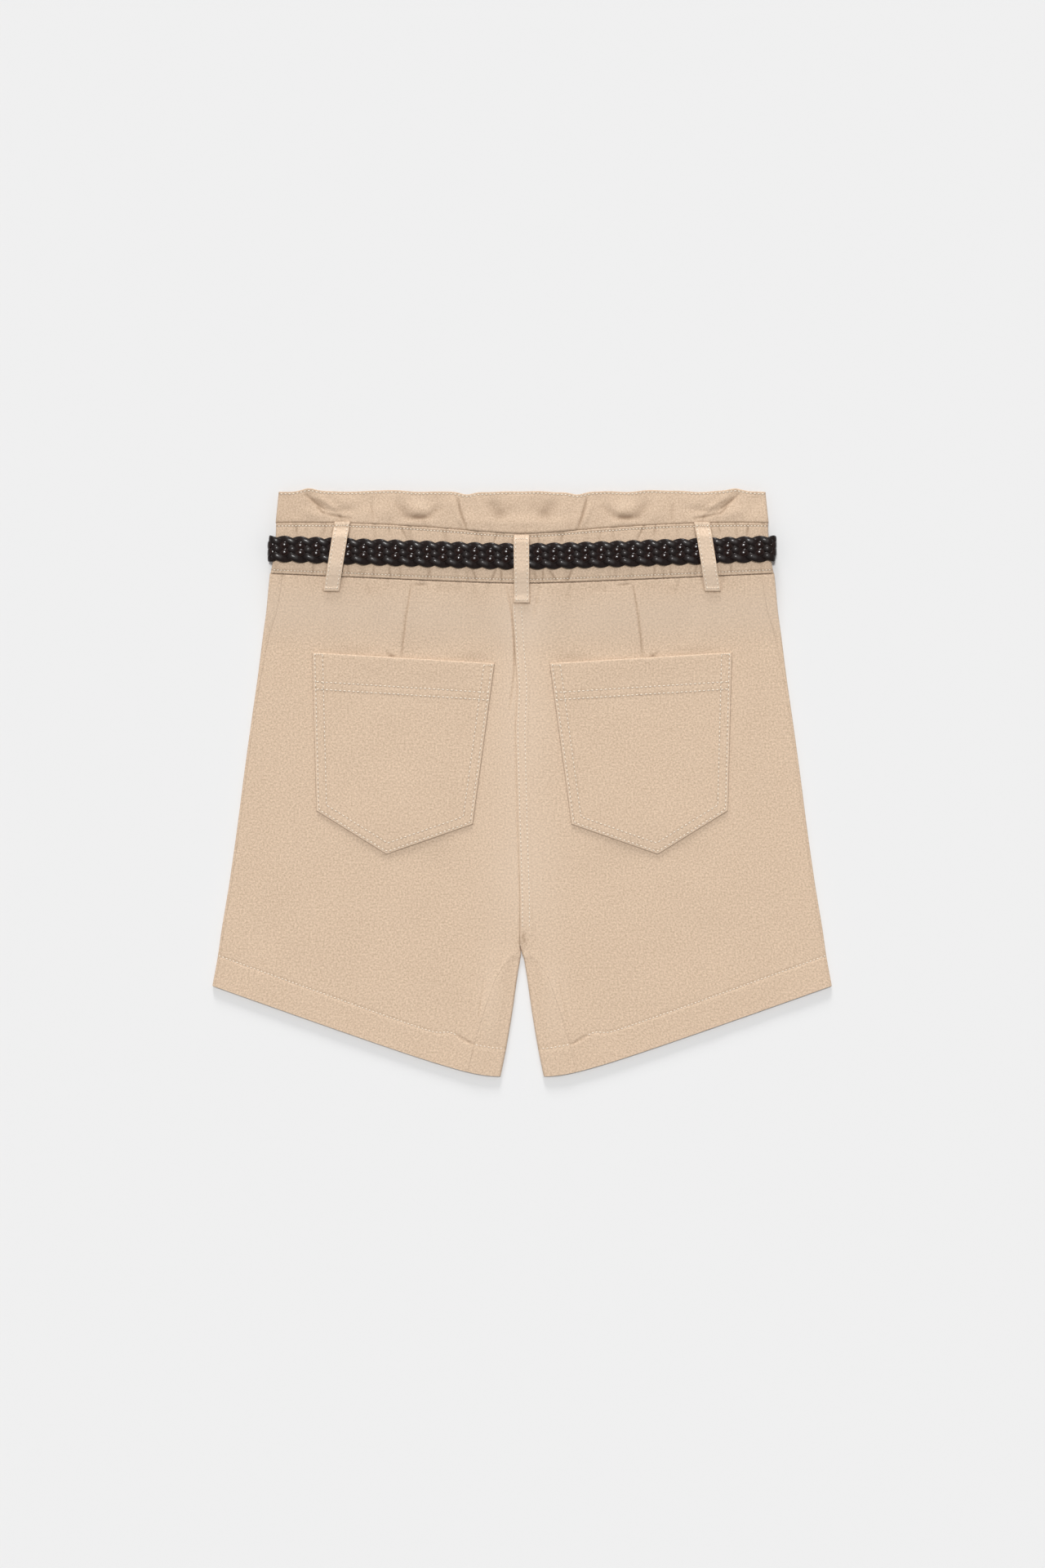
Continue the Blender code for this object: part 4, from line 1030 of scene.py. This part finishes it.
pocket = {
    "cut": (0.156, 0.190, 0.0215), "cloth": 0.5,
    "topIn": (20.8, 90.5), "topOut": (159.4, 98.8), "lowOut": (156.3, -21.7),
    "tip": (103.0, -54.7), "lowIn": (37.5, -31.9),
    "tipShare": 5 / 9,       # of its cells across, the inner side of the tip
    "stand": 1.45,           # outside of the pocket above the panel
    "edge": 0.5,             # its edge above the panel
    "rowNear": 2.0, "rowFar": 7.9,        # stitch rows, from its edges
    "mouthRows": (22.3, 27.9),            # and from its mouth
    "mouth": 0.7, "mouthReach": 22.0,     # how far the mouth gapes, and how far down
    "turning": 9.6, "mouthTurning": 28.9, # width of the cloth turned in, which stands higher
    "rowEnds": (3.6, 2.6),   # from the mouth's corners, inner and outer, to its rows
    "bar": (1.6, 8.2),       # and to the ends of the bar tack
    "outerSide": 118.0, "innerSide": 122.0,   # lengths of its sides inside those rows
}
pocketCorners = [pocket[name] for name in ("topIn", "topOut", "lowOut", "tip", "lowIn")]


def toPocketEdges(x, y):  # distances inwards from the five edges, the mouth first
    found = []
    for start, end in zip(pocketCorners, pocketCorners[1:] + pocketCorners[:1]):
        runX, runY = end[0] - start[0], end[1] - start[1]
        found.append(((x - start[0]) * runY - (y - start[1]) * runX) / math.hypot(runX, runY))
    return found


def pocketRows(mouth, edge, width):  # 1 on a row of stitches
    rows = bell(edge - pocket["rowNear"], width) + bell(edge - pocket["rowFar"], width)
    return rows + sum(bell(mouth - row, width) for row in pocket["mouthRows"]) * ease(edge - 1.0)


def pocketTop(x, y):
    mouth, *others = toPocketEdges(np.abs(x), y)
    edge = np.minimum.reduce(others)
    turned = roundOff(np.minimum(edge, mouth) / 0.9)
    pucker = np.cos(2 * np.pi * ((np.abs(x) * 0.9 + y) / 6.4 + 0.4 * wander(y + x, 40.0, 51)))
    doubled = 0.2 * ease((pocket["turning"] - edge) / 1.4)
    doubled += 0.2 * ease((pocket["mouthTurning"] - mouth) / 1.4)
    relief = 0.05 * cloud(x, y, 30.0, 52) + 0.02 * cloud(x, y, 11.0, 53)
    relief += 0.03 * pucker * bell(edge - 5.0, 5.0)
    gape = pocket["mouth"] * fade(mouth, pocket["mouthReach"]) * ease(edge / 40.0)
    stand = mix(pocket["edge"], pocket["stand"] + doubled + gape, turned)
    return panelTop(x, y) + stand + relief * turned - 0.24 * pocketRows(mouth, edge, 0.7)


# painted shadow along the outermost edge, painted shade in the stitch rows, and painted light on the turned
# rim
def pocketShade(x, y):
    mouth, *others = toPocketEdges(np.abs(x), y)
    edge = np.minimum.reduce(others)
    cut = ease((0.3 - edge) / 0.3) * ease(mouth / 0.5)
    rimLight = bell(np.minimum(edge, mouth) - 0.9, 0.5) * (1 - cut) * mix(0.1, 0.3, ease(mouth - edge))
    return 0.7 * cut + 0.2 * pocketRows(mouth, edge, 0.6) - rimLight


def onPocket(side, u, v):  # across the mouth and the lower edge with its tip, then down
    stops = (0.0, pocket["tipShare"], 1.0)
    x, y = (mix(mix(topIn, topOut, u), np.interp(u, stops, (lowIn, tip, lowOut)), v)
            for topIn, topOut, lowOut, tip, lowIn in zip(*pocketCorners))
    z = pocketTop(side * x, y)
    return side * x, y, z, side * x, y, pocketShade(side * x, y)


def makePockets():
    across = spread((0.0, 0.004, 0.012, 0.07, 0.93, 0.988, 0.996, 1.0), (2, 2, 10, 76, 10, 2, 2))
    down = spread((0.0, 0.004, 0.012, 0.19, 0.93, 0.99, 0.997, 1.0), (1, 2, 26, 60, 10, 2, 2))
    for side, name in ((-1, "left"), (1, "right")):
        mesh = bentGrid("pocket", across, down, lambda u, v: onPocket(side, u, v), side < 0)
        addCloth("pocket_cloth_" + name, mesh, pocket["cloth"], "pocket_" + name)
    print("pockets patched")


# Belt loops

def overBelt(x, y):  # 1 on the belt, 0 where the loop lies on the cloth
    past = y - courseY(beltCourse, x)
    clear = np.abs(past) - belt["width"] / 2 - 0.6
    share = np.clip(1 - clear / np.where(past > 0, loops["reachUp"], loops["reachDown"]), 0.0, 1.0)
    return mix(share, ease(share), 0.4)


def backSurface(x, y):
    lowSeam, highSeam = courseY(waistCourse, x), courseY(casingCourse, x)
    onPanel = panelTop(x, np.minimum(y, lowSeam - 1.6))
    onFrill = ruffleTop(x, np.maximum(y, highSeam + 1.3))
    return np.where(y > highSeam, onFrill, np.where(y > lowSeam, casingTop(x, y), onPanel))


def acrossLoop(middle):  # x of both edges and the middle
    return [middle + share * loops["width"] / 2 for share in (-1, 0, 1)]


def backLoopTop(loop, x, y):
    topY, lowY = loop[1], loop[3]
    middle = loopMiddle(loop, y)
    rest = np.maximum.reduce([backSurface(place, y) for place in acrossLoop(middle)])
    rest = rest + loops["rest"] + loops["shell"]
    ends = 0.55 * (bell(topY - y - 2.0, 3.0) + bell(y - lowY - 2.0, 3.0))
    across = np.abs(x - middle) / (loops["width"] / 2)
    rows = 0.22 * bell((1 - across) * loops["width"] / 2 - 1.6, 0.6)
    crown = 0.5 * (1 - roundOff((1 - across) / 0.14)) + 0.12 * across ** 2
    high = np.maximum(rest + ends, mix(rest, loops["highest"], overBelt(middle, y)))
    return high - rows - crown + 0.05 * cloud(x, y, 6.0, 61)


# painted shade at the loop's ends, bar tacks and sides; painted shade near its top and painted light on its
# slope below the belt, where the light falls unevenly; painted light over it all
def backLoopShade(loop, u, v):
    length = loop[1] - loop[3]
    fromSide = np.minimum(u, 1 - u) * loops["width"]
    ends = 0.45 * bell((1 - v) * length, 0.5) + 0.3 * bell(v * length, 0.4)
    sewn = 0.25 * (bell(v * length - loops["topBar"], 0.5) + bell((1 - v) * length - loops["lowBar"], 0.5))
    slopeLightAndShade = 0.12 * ease((0.3 - v) / 0.15) - 0.2 * ease((v - 0.5) / 0.2) * ease((1.02 - v) / 0.1)
    return ends + sewn + slopeLightAndShade + 0.45 * bell(fromSide, 0.35) - loops["paintedPale"]


def onBackLoop(loop, u, v):
    y = mix(loop[1], loop[3], v)
    narrow = 1 - 0.03 * np.sin(np.pi * v)
    x = loopMiddle(loop, y) + (u - 0.5) * loops["width"] * narrow
    z = backLoopTop(loop, x, y) - 0.5 * (1 - roundOff(np.minimum(v, 1 - v) * 90))
    return x, y, z, x, y + z, backLoopShade(loop, u, v)


def onFrontLoop(loop, u, v):
    y = mix(loop[1], loop[3], v)
    middle = loopMiddle(loop, y)
    onFrill = np.minimum.reduce([ruffleLow(place, y) for place in acrossLoop(middle)])
    above = np.where(y > courseY(casingCourse, middle), onFrill, cloth["bandLow"])
    above = np.where(y < courseY(waistCourse, middle), frontLow(middle, y), above)
    rest = above - loops["rest"] - loops["shell"]
    z = np.maximum(mix(rest, 0.0, overBelt(middle, y)), 0.0)
    return middle + (0.5 - u) * loops["width"], y, z, u * loops["width"], y + z, -0.1


def makeLoops():
    across = spread((0.0, 0.05, 0.2, 0.8, 0.95, 1.0), (2, 3, 6, 3, 2))
    down = spread((0.0, 0.02, 0.98, 1.0), (2, 72, 2))
    for place, onLoop in (("back", onBackLoop), ("front", onFrontLoop)):
        for name, loop in loops[place].items():
            mesh = bentGrid("loop", across, down, lambda u, v: onLoop(loop, u, v))
            addCloth(f"loop_cloth_{place}_{name}", mesh, loops["cloth"],
                     f"loop_{place}_{name}")
    print("loops sewn")


# Braided belt

braid = {
    "strands": 6, "repeat": 72.0,         # length in which a strand goes to and fro once
    "strandWide": 5.6, "strandThick": 2.0,
    "rise": 0.88, "snap": 2.4,            # how far it lifts over another, and how sharply
    "edgeBend": 0.97,        # towards 1 it turns back more sharply at the belt's edges
    "step": 1.5, "around": 12,            # a ring each step along it, of that many cells
    "flat": 0.82,            # power of its section, below 1 squarer than an ellipse
    "dullShade": 0.45,            # painted shade and more roughness where a strand's gloss isn't seen
}


def beltTurn():  # inner radius of the turns at the sides, and x of their middle
    roll = (belt["rest"] - belt["low"] - belt["thick"]) / 2
    return roll, belt["half"] - belt["thick"] - roll


def beltRoute(distance):  # middle of the belt's thickness: x, z and outwards in x, z
    side = np.sign(distance) + (distance == 0)
    along = np.abs(distance)
    roll, turnX = beltTurn()
    middleRoll = roll + belt["thick"] / 2
    turnZ = belt["rest"] - roll
    angle = np.clip((along - turnX) / middleRoll, 0.0, math.pi)
    past = np.maximum(along - turnX - math.pi * middleRoll, 0.0)
    x = np.minimum(along, turnX) + middleRoll * np.sin(angle) - past
    return side * x, turnZ + middleRoll * np.cos(angle), side * np.sin(angle), np.cos(angle)


def beltEnd():  # distance from the centre of the back to where the braid stops
    roll, turnX = beltTurn()
    return turnX + math.pi * (roll + belt["thick"] / 2) + turnX - belt["tabReach"]


def weaveHeight(turn):  # over one, under one: 1 over, -1 under, with 12 steps to a repeat
    step = (12 * turn) % 12
    last = (step - 11) % 12
    return np.select(
        [(step >= 1) & (step <= 5), (step > 5) & (step < 7), (step >= 7) & (step <= 11)],
        [np.cos(np.pi * step), -np.cos(np.pi * (step - 5) / 2), -np.cos(np.pi * step)],
        np.cos(np.pi * last / 2))


def strandLine(number, distance):  # its middle, outwards, how far it lifts, and its painted shade and dullness
    turn = distance / braid["repeat"] + number / braid["strands"]
    reach = (belt["width"] - braid["strandWide"]) / 2
    bend = braid["edgeBend"]
    across = reach * np.arcsin(bend * np.cos(2 * np.pi * turn)) / math.asin(bend)
    x, z, outX, outZ = beltRoute(distance)
    rise = braid["rise"] * np.tanh(braid["snap"] * weaveHeight(turn))
    y = courseY(beltCourse, x) - across
    # a strand leaning one way is seen along its gloss; leaning the other way it gets painted shade and more
    # roughness, as if seen across it
    dullShade = braid["dullShade"] * ease(0.6 - 1.3 * np.sin(2 * np.pi * turn))
    line = np.stack((x + outX * rise, y, z + outZ * rise), -1)
    return line, np.stack((outX, 0 * outX, outZ), -1), rise, dullShade


def unit(vectors):
    return vectors / np.linalg.norm(vectors, axis=-1, keepdims=True)


def squared(wave):  # makes an ellipse's section squarer
    return np.copysign(np.abs(wave) ** braid["flat"], wave)


def makeStrand(number):
    end = beltEnd()
    steps = int(2 * end / braid["step"])
    distance = np.linspace(-end, end, steps + 1)
    line, out, rise, dullShade = strandLine(number, distance)
    tangent = unit(np.gradient(line, axis=0))
    wide = unit(np.cross(out, tangent))
    up = np.cross(tangent, wide)

    def place(u, v):
        at = np.rint(u * steps).astype(int)
        angle = -2 * np.pi * v
        sideways = squared(np.cos(angle)) * braid["strandWide"] / 2
        upwards = squared(np.sin(angle)) * braid["strandThick"] / 2
        spot = line[at] + wide[at] * sideways[..., None] + up[at] * upwards[..., None]
        # painted shade down between the strands, and on the strands leaning the dull way
        depth = np.maximum(ease((0.55 - rise[at] - upwards) / 1.5), dullShade[at])
        return spot[..., 0], spot[..., 1], spot[..., 2], distance[at], v * 12.0, depth

    return bentGrid("strand", np.linspace(0, 1, steps + 1), np.linspace(0, 1, braid["around"] + 1), place)


def joinMeshes(name, meshes):
    bm = bmesh.new()
    for mesh in meshes:
        bm.from_mesh(mesh)
        bpy.data.meshes.remove(mesh)
    bmesh.ops.remove_doubles(bm, verts=bm.verts[:], dist=0.002 * mm)
    bmesh.ops.holes_fill(bm, edges=[edge for edge in bm.edges if edge.is_boundary], sides=0)
    bmesh.ops.recalc_face_normals(bm, faces=bm.faces[:])
    joined = meshFrom(bm, name)
    joined.shade_smooth()
    return joined


def makeBelt():
    mesh = joinMeshes("braid", [makeStrand(number) for number in range(braid["strands"])])
    addPiece("belt_strands", mesh, leather, "leather", "belt_braid")
    for node in ("belt_tab_left", "belt_tab_right", "belt_keeper"):
        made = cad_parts[node]
        made.data.materials.clear()
        made.data.materials.append(leather)
    print("belt braided")


# Stitches

# Sizes of a stitch, the share of its pitch that is seen, how far it stands on the cloth
# and how far its ends go in, and the pitch of each kind of row
stitch = {
    "radius": 0.44, "seen": 0.76, "stand": 0.2, "sink": 0.3,
    "pitch": {"casing": 2.55, "ditch": 2.5, "frill": 3.0, "hem": 2.8, "seat": 3.15, "pocket": 3.35,
              "loop": 3.1, "bar": 1.5},
    "ditchLow": 1.15, "upperDitch": -0.35, "lowerDitch": -0.25,   # below the casing and the seams
    # half lengths of the rows along the waist seams and the frill
    "upperHalf": 185.5, "lowerHalf": 189.0, "frillHalf": 184.0,
    "hemRuns": ((50.0, 231.0, 140), (14.5, 36.0, 24)),    # from x to x in so many places
    "seatRun": (134.0, -110.0, 140),                      # and from y to y
}


def stitchForm():  # one stitch, two units long, with painted shade where it goes into the cloth
    bm = bmesh.new()
    bmesh.ops.create_uvsphere(bm, u_segments=6, v_segments=6, radius=1.0)
    shade = bm.verts.layers.float.new("shade")
    for vert in bm.verts:
        vert[shade] = abs(vert.co.z) ** 3
    return meshFrom(bm, "stitch")


def repeated(mesh, count):  # that many copies in one mesh, all at the same place
    holder = addObject("holder", mesh, shortsCollection)
    array = holder.modifiers.new("array", "ARRAY")
    array.count = count
    array.use_relative_offset = False
    holder = holder.evaluated_get(bpy.context.evaluated_depsgraph_get())
    many = bpy.data.meshes.new_from_object(holder)
    bpy.data.objects.remove(holder.original)
    return many


def stitchEnds(row, topOf, pitch):  # where each stitch of a row starts and ends
    steps = np.hypot(*np.diff(row, axis=0).T)
    distance = np.concatenate(([0.0], np.cumsum(steps)))
    count = max(1, int(distance[-1] / pitch))
    middles = (np.arange(count) + 0.5) * distance[-1] / count
    ends = []
    for shift in (-pitch * stitch["seen"] / 2, pitch * stitch["seen"] / 2):
        x = np.interp(middles + shift, distance, row[:, 0])
        y = np.interp(middles + shift, distance, row[:, 1])
        ends.append(np.column_stack((x, y, topOf(x, y) + stitch["stand"])))
    return ends


def addStitches(name, rows, finish):  # a row is its x, y places, the cloth under it, its kind
    ends = [stitchEnds(row, topOf, stitch["pitch"][kind]) for row, topOf, kind in rows]
    start = np.concatenate([pair[0] for pair in ends])
    end = np.concatenate([pair[1] for pair in ends])
    form = stitchForm()
    corners = cornersOf(form)[None]
    middle, half = (start + end) / 2, (end - start) / 2
    side = unit(np.cross(half, (0.0, 0.0, 1.0)))
    up = unit(np.cross(half, side))
    spots = middle[:, None] + corners[..., 2:] * half[:, None]
    spots += stitch["radius"] * (corners[..., :1] * side[:, None] + corners[..., 1:2] * up[:, None])
    spots[..., 2] -= stitch["sink"] * corners[..., 2] ** 2
    mesh = repeated(form, len(start))
    mesh.name = name
    moveCorners(mesh, spots)
    addPiece(name, mesh, finish, "twill")


def acrossRow(course, half, shift):  # a row along a seam of the waist, on the back
    x = np.linspace(-half, half, 300)
    return np.column_stack((x, courseY(course, x) + shift))


def inDitch(x, y):  # down between the waistband and its neighbour
    return cloth["bandTop"] - stitch["ditchLow"] + 0.0 * x


def sewWaist():
    upper, lower = stitch["upperHalf"], stitch["lowerHalf"]
    x = np.linspace(-stitch["frillHalf"], stitch["frillHalf"], 300)
    edge = np.column_stack((x, ruffleEdge(x) - ruffle["edgeRow"]))
    addStitches("stitches_waist", [
        (acrossRow(casingCourse, upper, -band["upperRow"]), casingTop, "casing"),
        (acrossRow(waistCourse, lower, band["lowerRow"]), casingTop, "casing"),
        (edge, ruffleTop, "frill"),
    ], thread)
    # painted shade: these rows are drawn with the darkened thread
    addStitches("stitches_ditch", [
        (acrossRow(waistCourse, lower, stitch["lowerDitch"]), inDitch, "ditch"),
        (acrossRow(casingCourse, upper, stitch["upperDitch"]), inDitch, "ditch"),
    ], ditchThread)


def sewPanels():
    rows = []
    for side in (-1, 1):
        for run in stitch["hemRuns"]:
            x = side * np.linspace(*run)
            rows.append((np.column_stack((x, hemY(x))), panelTop, "hem"))
    y = np.linspace(*stitch["seatRun"])
    for off in (seatSeam["rowNear"], seatSeam["rowFar"]):
        rows.append((np.column_stack((seatX(y) + off, y)), panelTop, "seat"))
    addStitches("stitches_panels", rows, thread)


def insideCorners(inset):  # the pocket's five corners, moved in along both their edges
    found = []
    for order, corner in enumerate(pocketCorners):
        before = np.subtract(corner, pocketCorners[order - 1])
        after = np.subtract(pocketCorners[(order + 1) % 5], corner)
        normals = [np.array((run[1], -run[0])) / np.hypot(*run) for run in (before, after)]
        total = normals[0] + normals[1]
        found.append(np.array(corner) + total * inset / (1 + normals[0] @ normals[1]))
    return np.array(found)


def denseLine(corners, step=2.0):  # places along straight runs, no more than step apart
    line = [corners[0]]
    for start, end in zip(corners, corners[1:]):
        count = max(1, int(np.hypot(*np.subtract(end, start)) / step))
        line += [mix(np.array(start), np.array(end), share) for share in np.linspace(0, 1, count + 1)[1:]]
    return np.array(line)


def sewPockets():
    rows = []
    inner, outer = np.array(pocket["topIn"]), np.array(pocket["topOut"])
    fromInner, fromOuter = pocket["rowEnds"]
    barStart, barEnd = pocket["bar"]
    for side in (-1, 1):
        for inset in (pocket["rowNear"], pocket["rowFar"]):
            corners = insideCorners(inset)
            route = [*corners[1:], corners[0]]  # both ends run on to the mouth
            route[0] = route[0] + (corners[1] - corners[2]) * (inset / pocket["outerSide"])
            route[4] = route[4] + (corners[0] - corners[4]) * (inset / pocket["innerSide"])
            rows.append((denseLine(route) * (side, 1), pocketTop, "pocket"))
        for depth in pocket["mouthRows"]:
            line = denseLine([inner + (fromInner, -depth), outer - (fromOuter, depth)])
            rows.append((line * (side, 1), pocketTop, "pocket"))
        for corner, turn in ((inner, 1), (outer, -1)):
            bar = [corner + (turn * reach, -barStart) for reach in (barStart, barEnd)]
            rows.append((denseLine(bar, 1.0) * (side, 1), pocketTop, "bar"))
    addStitches("stitches_pockets", rows, thread)


def sewLoops():
    rows = []
    for loop in loops["back"].values():
        topX, topY, lowX, lowY = loop
        onLoop = lambda x, y, loop=loop: backLoopTop(loop, x, y)
        for side in (-1, 1):
            off = side * (loops["width"] / 2 - loops["rowIn"])
            line = [(topX + off, topY - loops["rowEnd"]), (lowX + off, lowY + loops["rowEnd"])]
            rows.append((denseLine(line, 1.0), onLoop, "loop"))
        for place in (topY - loops["topBar"], lowY + loops["lowBar"]):
            bar = [(loopMiddle(loop, place) + end * loops["barHalf"], place) for end in (-1, 1)]
            rows.append((denseLine(bar, 1.0), onLoop, "bar"))
    addStitches("stitches_loops", rows, thread)


# Stage, light and camera

picture = {
    "wide": 1280, "tall": 1920, "mmPerPixel": 0.62,
    "centreX": 639.5, "centreY": 958.0,   # pixel that shows x = 0, y = 0
    "lens": 100.0, "sensor": 36.0, "clipEnd": 20.0,
}
floorSheet = {"half": 6.0, "colour": (0.80, 0.80, 0.80)}
light = {
    "world": 0.52,           # strength, and its share at each height above the horizon
    "sky": ((0.0, 0.25), (0.3, 0.5), (0.5, 1.0), (0.75, 1.0), (0.9, 0.15), (1.0, 0.10)),
    # energy, degrees above the surface, turn from the waist's side, and how wide it is
    "suns": {"low": (1.88, 17.4, 4.0, 15.0), "high": (1.86, 77.0, 12.0, 9.0)},
}


def makeStage():
    bm = bmesh.new()
    bmesh.ops.create_grid(bm, x_segments=1, y_segments=1, size=floorSheet["half"])
    floor = addObject("floor", meshFrom(bm, "floor"), bpy.context.scene.collection)
    paper = Finish("palePaper", floorSheet["colour"], 0.9, Specular_IOR_Level=0.1)
    floor.data.materials.append(paper.material)


def makeLight():
    world = bpy.data.worlds.new("studio")
    world.use_nodes = True
    tree = world.node_tree
    where = tree.nodes.new("ShaderNodeTexCoord")
    split = tree.nodes.new("ShaderNodeSeparateXYZ")
    ramp = tree.nodes.new("ShaderNodeValToRGB")
    stops = ramp.color_ramp.elements
    for order, (height, share) in enumerate(light["sky"]):
        stop = stops[order] if order < 2 else stops.new(height)
        stop.position = height
        stop.color = (share, share, share, 1.0)
    tree.links.new(where.outputs["Generated"], split.inputs[0])
    tree.links.new(split.outputs["Z"], ramp.inputs[0])
    tree.links.new(ramp.outputs["Color"], tree.nodes["Background"].inputs["Color"])
    tree.nodes["Background"].inputs["Strength"].default_value = light["world"]
    bpy.context.scene.world = world
    for name, (energy, high, turn, wide) in light["suns"].items():
        sun = addObject(name, bpy.data.lights.new(name, "SUN"), bpy.context.scene.collection)
        sun.data.energy = energy
        sun.data.angle = math.radians(wide)
        sun.rotation_euler = (-math.radians(90 - high), 0.0, math.radians(turn))


def makeCamera():
    camera = addObject("camera", bpy.data.cameras.new("camera"), bpy.context.scene.collection)
    camera.data.sensor_width = picture["sensor"]
    camera.data.lens = picture["lens"]
    covered = picture["tall"] * picture["mmPerPixel"] * mm
    away = covered * picture["lens"] / picture["sensor"]
    x = (picture["wide"] / 2 - picture["centreX"]) * picture["mmPerPixel"] * mm
    y = (picture["centreY"] - picture["tall"] / 2) * picture["mmPerPixel"] * mm
    camera.location = (x, y, away + cloth["layFlat"] * mm)
    camera.data.clip_end = picture["clipEnd"]
    bpy.context.scene.camera = camera
    bpy.context.scene.view_settings.view_transform = "Standard"


makePanels()
makeWaist()
makePockets()
makeLoops()
makeBelt()
sewWaist()
sewPanels()
sewPockets()
sewLoops()
print("seams stitched")
makeStage()
makeLight()
makeCamera()
